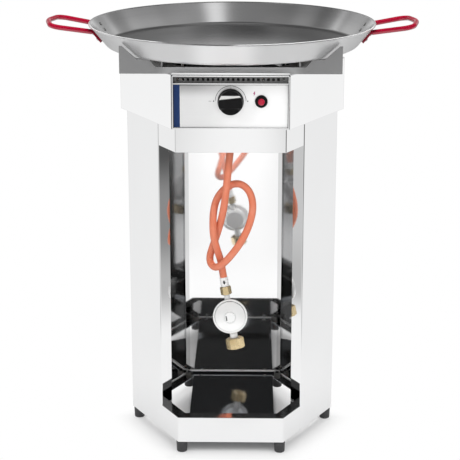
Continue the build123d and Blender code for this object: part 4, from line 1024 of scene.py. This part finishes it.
def white_floor():
    """Pale floor that looks white to the camera and keeps the shadow round the stand, with a painted shadow
    in its colour under the front of the stand. The polished sheet shows it as a white lane in front, with
    dimmer floor to the left and right of the lane and at the back, and painted shade under the stand."""
    paint = Finish("studio_floor")
    camera_ray = paint.node("ShaderNodeLightPath", output="Is Camera Ray")
    glossy_ray = paint.node("ShaderNodeLightPath", output="Is Glossy Ray")
    through_ray = paint.node("ShaderNodeLightPath", output="Is Transmission Ray")
    across = paint.axis("X")
    ahead = 0 - paint.axis("Y")
    aside = paint.unsigned(across)
    depth = paint.unsigned(ahead)
    away = paint.reach()
    edge = paint.node("ShaderNodeMath", {"operation": "MAXIMUM"},
                      {0: depth, 1: HEXAGON_COS * aside + HEXAGON_SIN * depth})
    front = paint.between(ahead, 0.0, 0.35)
    beside = paint.between(aside, 0.03, 0.56)
    right = paint.between(across, -0.05, 0.05)
    dim_right = (0.52 * paint.between(away, 0.6, 1.0) + 0.24 * paint.between(away, 1.05, 1.5)
                 + 0.2 * paint.between(away, 1.9, 2.6))
    dim_left = 0.5 * paint.between(away, 0.72, 0.98) - 0.1 * paint.between(away, 1.1, 1.6)
    # Painted shade: the floor under the stand is dimmed in what the polished sheet shows.
    beneath = 1 - paint.between(edge, 0.16, 0.2)
    rear = paint.between((0 - ahead - 0.75 * aside) * away ** -1, 0.0, 0.15)
    dim_rear = 0.18 + 0.16 * paint.between(away, 0.5, 1.3) + 0.2 * paint.between(away, 1.4, 3.2)
    dim = (front * beside * (dim_left + right * (dim_right - dim_left)) + 0.06 * (1 - front) * beside
           + rear * dim_rear + 0.7 * beneath)
    tone = paint.blend(glossy_ray * dim, WHITE, BLACK)
    glow = paint.node("ShaderNodeEmission", {}, {"Color": tone, "Strength": 1.0})
    # Painted shadow: the floor's colour turns to the shadow grey under the front of the stand.
    under = paint.between(ahead, 0.0, 0.12) * (1 - paint.between(edge, 0.15, 0.21))
    matt = paint.node("ShaderNodeBsdfDiffuse", {}, {"Color": paint.blend(under, FLOOR_GREY, SHADOW_GREY)})
    seen = paint.between(edge + 0.035 * (1 - paint.between(ahead, -0.1, 0.05)), 0.155, 0.25)
    share = ((camera_ray + through_ray) * seen
             + glossy_ray * (0.35 + 0.4 * front + 0.2 * paint.between(edge, 0.22, 0.7) * (3 - 2 * front)))
    mixed = paint.node("ShaderNodeMixShader", {}, {0: share, 1: matt, 2: glow})
    paint.feed(paint.tree.nodes["Material Output"].inputs["Surface"], mixed)
    return paint.material


floor_mesh = bmesh.new()
prism(floor_mesh, FLOOR_OUTLINE, -FLOOR_THICKNESS, 0)
floor_data = bpy.data.meshes.new("studio_floor")
floor_mesh.to_mesh(floor_data)
floor_mesh.free()
floor_data.materials.append(white_floor())
floor = bpy.data.objects.new("studio_floor", floor_data)
bpy.context.collection.objects.link(floor)

world = bpy.data.worlds.new("studio")
bpy.context.scene.world = world
world.use_nodes = True
studio = Recipe(world.node_tree)
direction = studio.node("ShaderNodeTexCoord", output="Generated")
sideways, ahead, above = [studio.node("ShaderNodeSeparateXYZ", {}, {0: direction}, output=letter)
                          for letter in "XYZ"]
is_camera = studio.node("ShaderNodeLightPath", output="Is Camera Ray")
is_glossy = studio.node("ShaderNodeLightPath", output="Is Glossy Ray")
behind = studio.between(ahead, 0.05, 0.5)
low = 1 - studio.between(above, 0.1, 0.23)
skyline = 1 - studio.between(above, 0.02, 0.16)
overhead = studio.between(above, 0.6, 0.9)
zenith = studio.between(above, 0.93, 0.99)


def patch(*ranges):
    """Soft-edged light that only reflections show, from ranges of a direction's x, y and z."""
    whole = 1
    for value, (first, last) in zip((sideways, ahead, above), ranges):
        started = studio.between(value, first - PATCH_EDGE, first + PATCH_EDGE)
        ended = studio.between(value, last - PATCH_EDGE, last + PATCH_EDGE)
        whole = whole * started * (1 - ended)
    return whole


reflected = (0.017 + behind * (1 - overhead) * (0.22 + 0.55 * low) + 0.5 * (1 - behind) * skyline
             + overhead * (0.25 + 0.15 * sideways - 0.16 * zenith))
for strength, *ranges in PATCHES:
    reflected = reflected + strength * patch(*ranges)
level = is_camera + (1 - is_camera) * (is_glossy * reflected + (1 - is_glossy) * SOFT_LIGHT)
background = studio.tree.nodes["Background"]
studio.feed(background.inputs["Color"], WHITE)
studio.feed(background.inputs["Strength"], level)

for name, place, aim, size, power in LAMPS:
    data = bpy.data.lights.new(name, "AREA")
    data.shape = "RECTANGLE"
    data.size, data.size_y = size
    data.energy = power
    lamp = bpy.data.objects.new(name, data)
    lamp.location = place
    lamp.rotation_euler = (Vector(aim) - Vector(place)).to_track_quat("-Z", "Y").to_euler()
    lamp.visible_glossy = False
    lamp.visible_camera = False
    bpy.context.collection.objects.link(lamp)

camera_data = bpy.data.cameras.new("camera")
camera_data.sensor_width = SENSOR_WIDTH
camera_data.lens = CAMERA_LENS
camera = bpy.data.objects.new("camera", camera_data)
camera.location = CAMERA_PLACE
camera.rotation_euler = (math.radians(90 - CAMERA_PITCH), 0, math.radians(CAMERA_TURN))
bpy.context.collection.objects.link(camera)
bpy.context.scene.camera = camera
bpy.context.scene.view_settings.view_transform = "Standard"
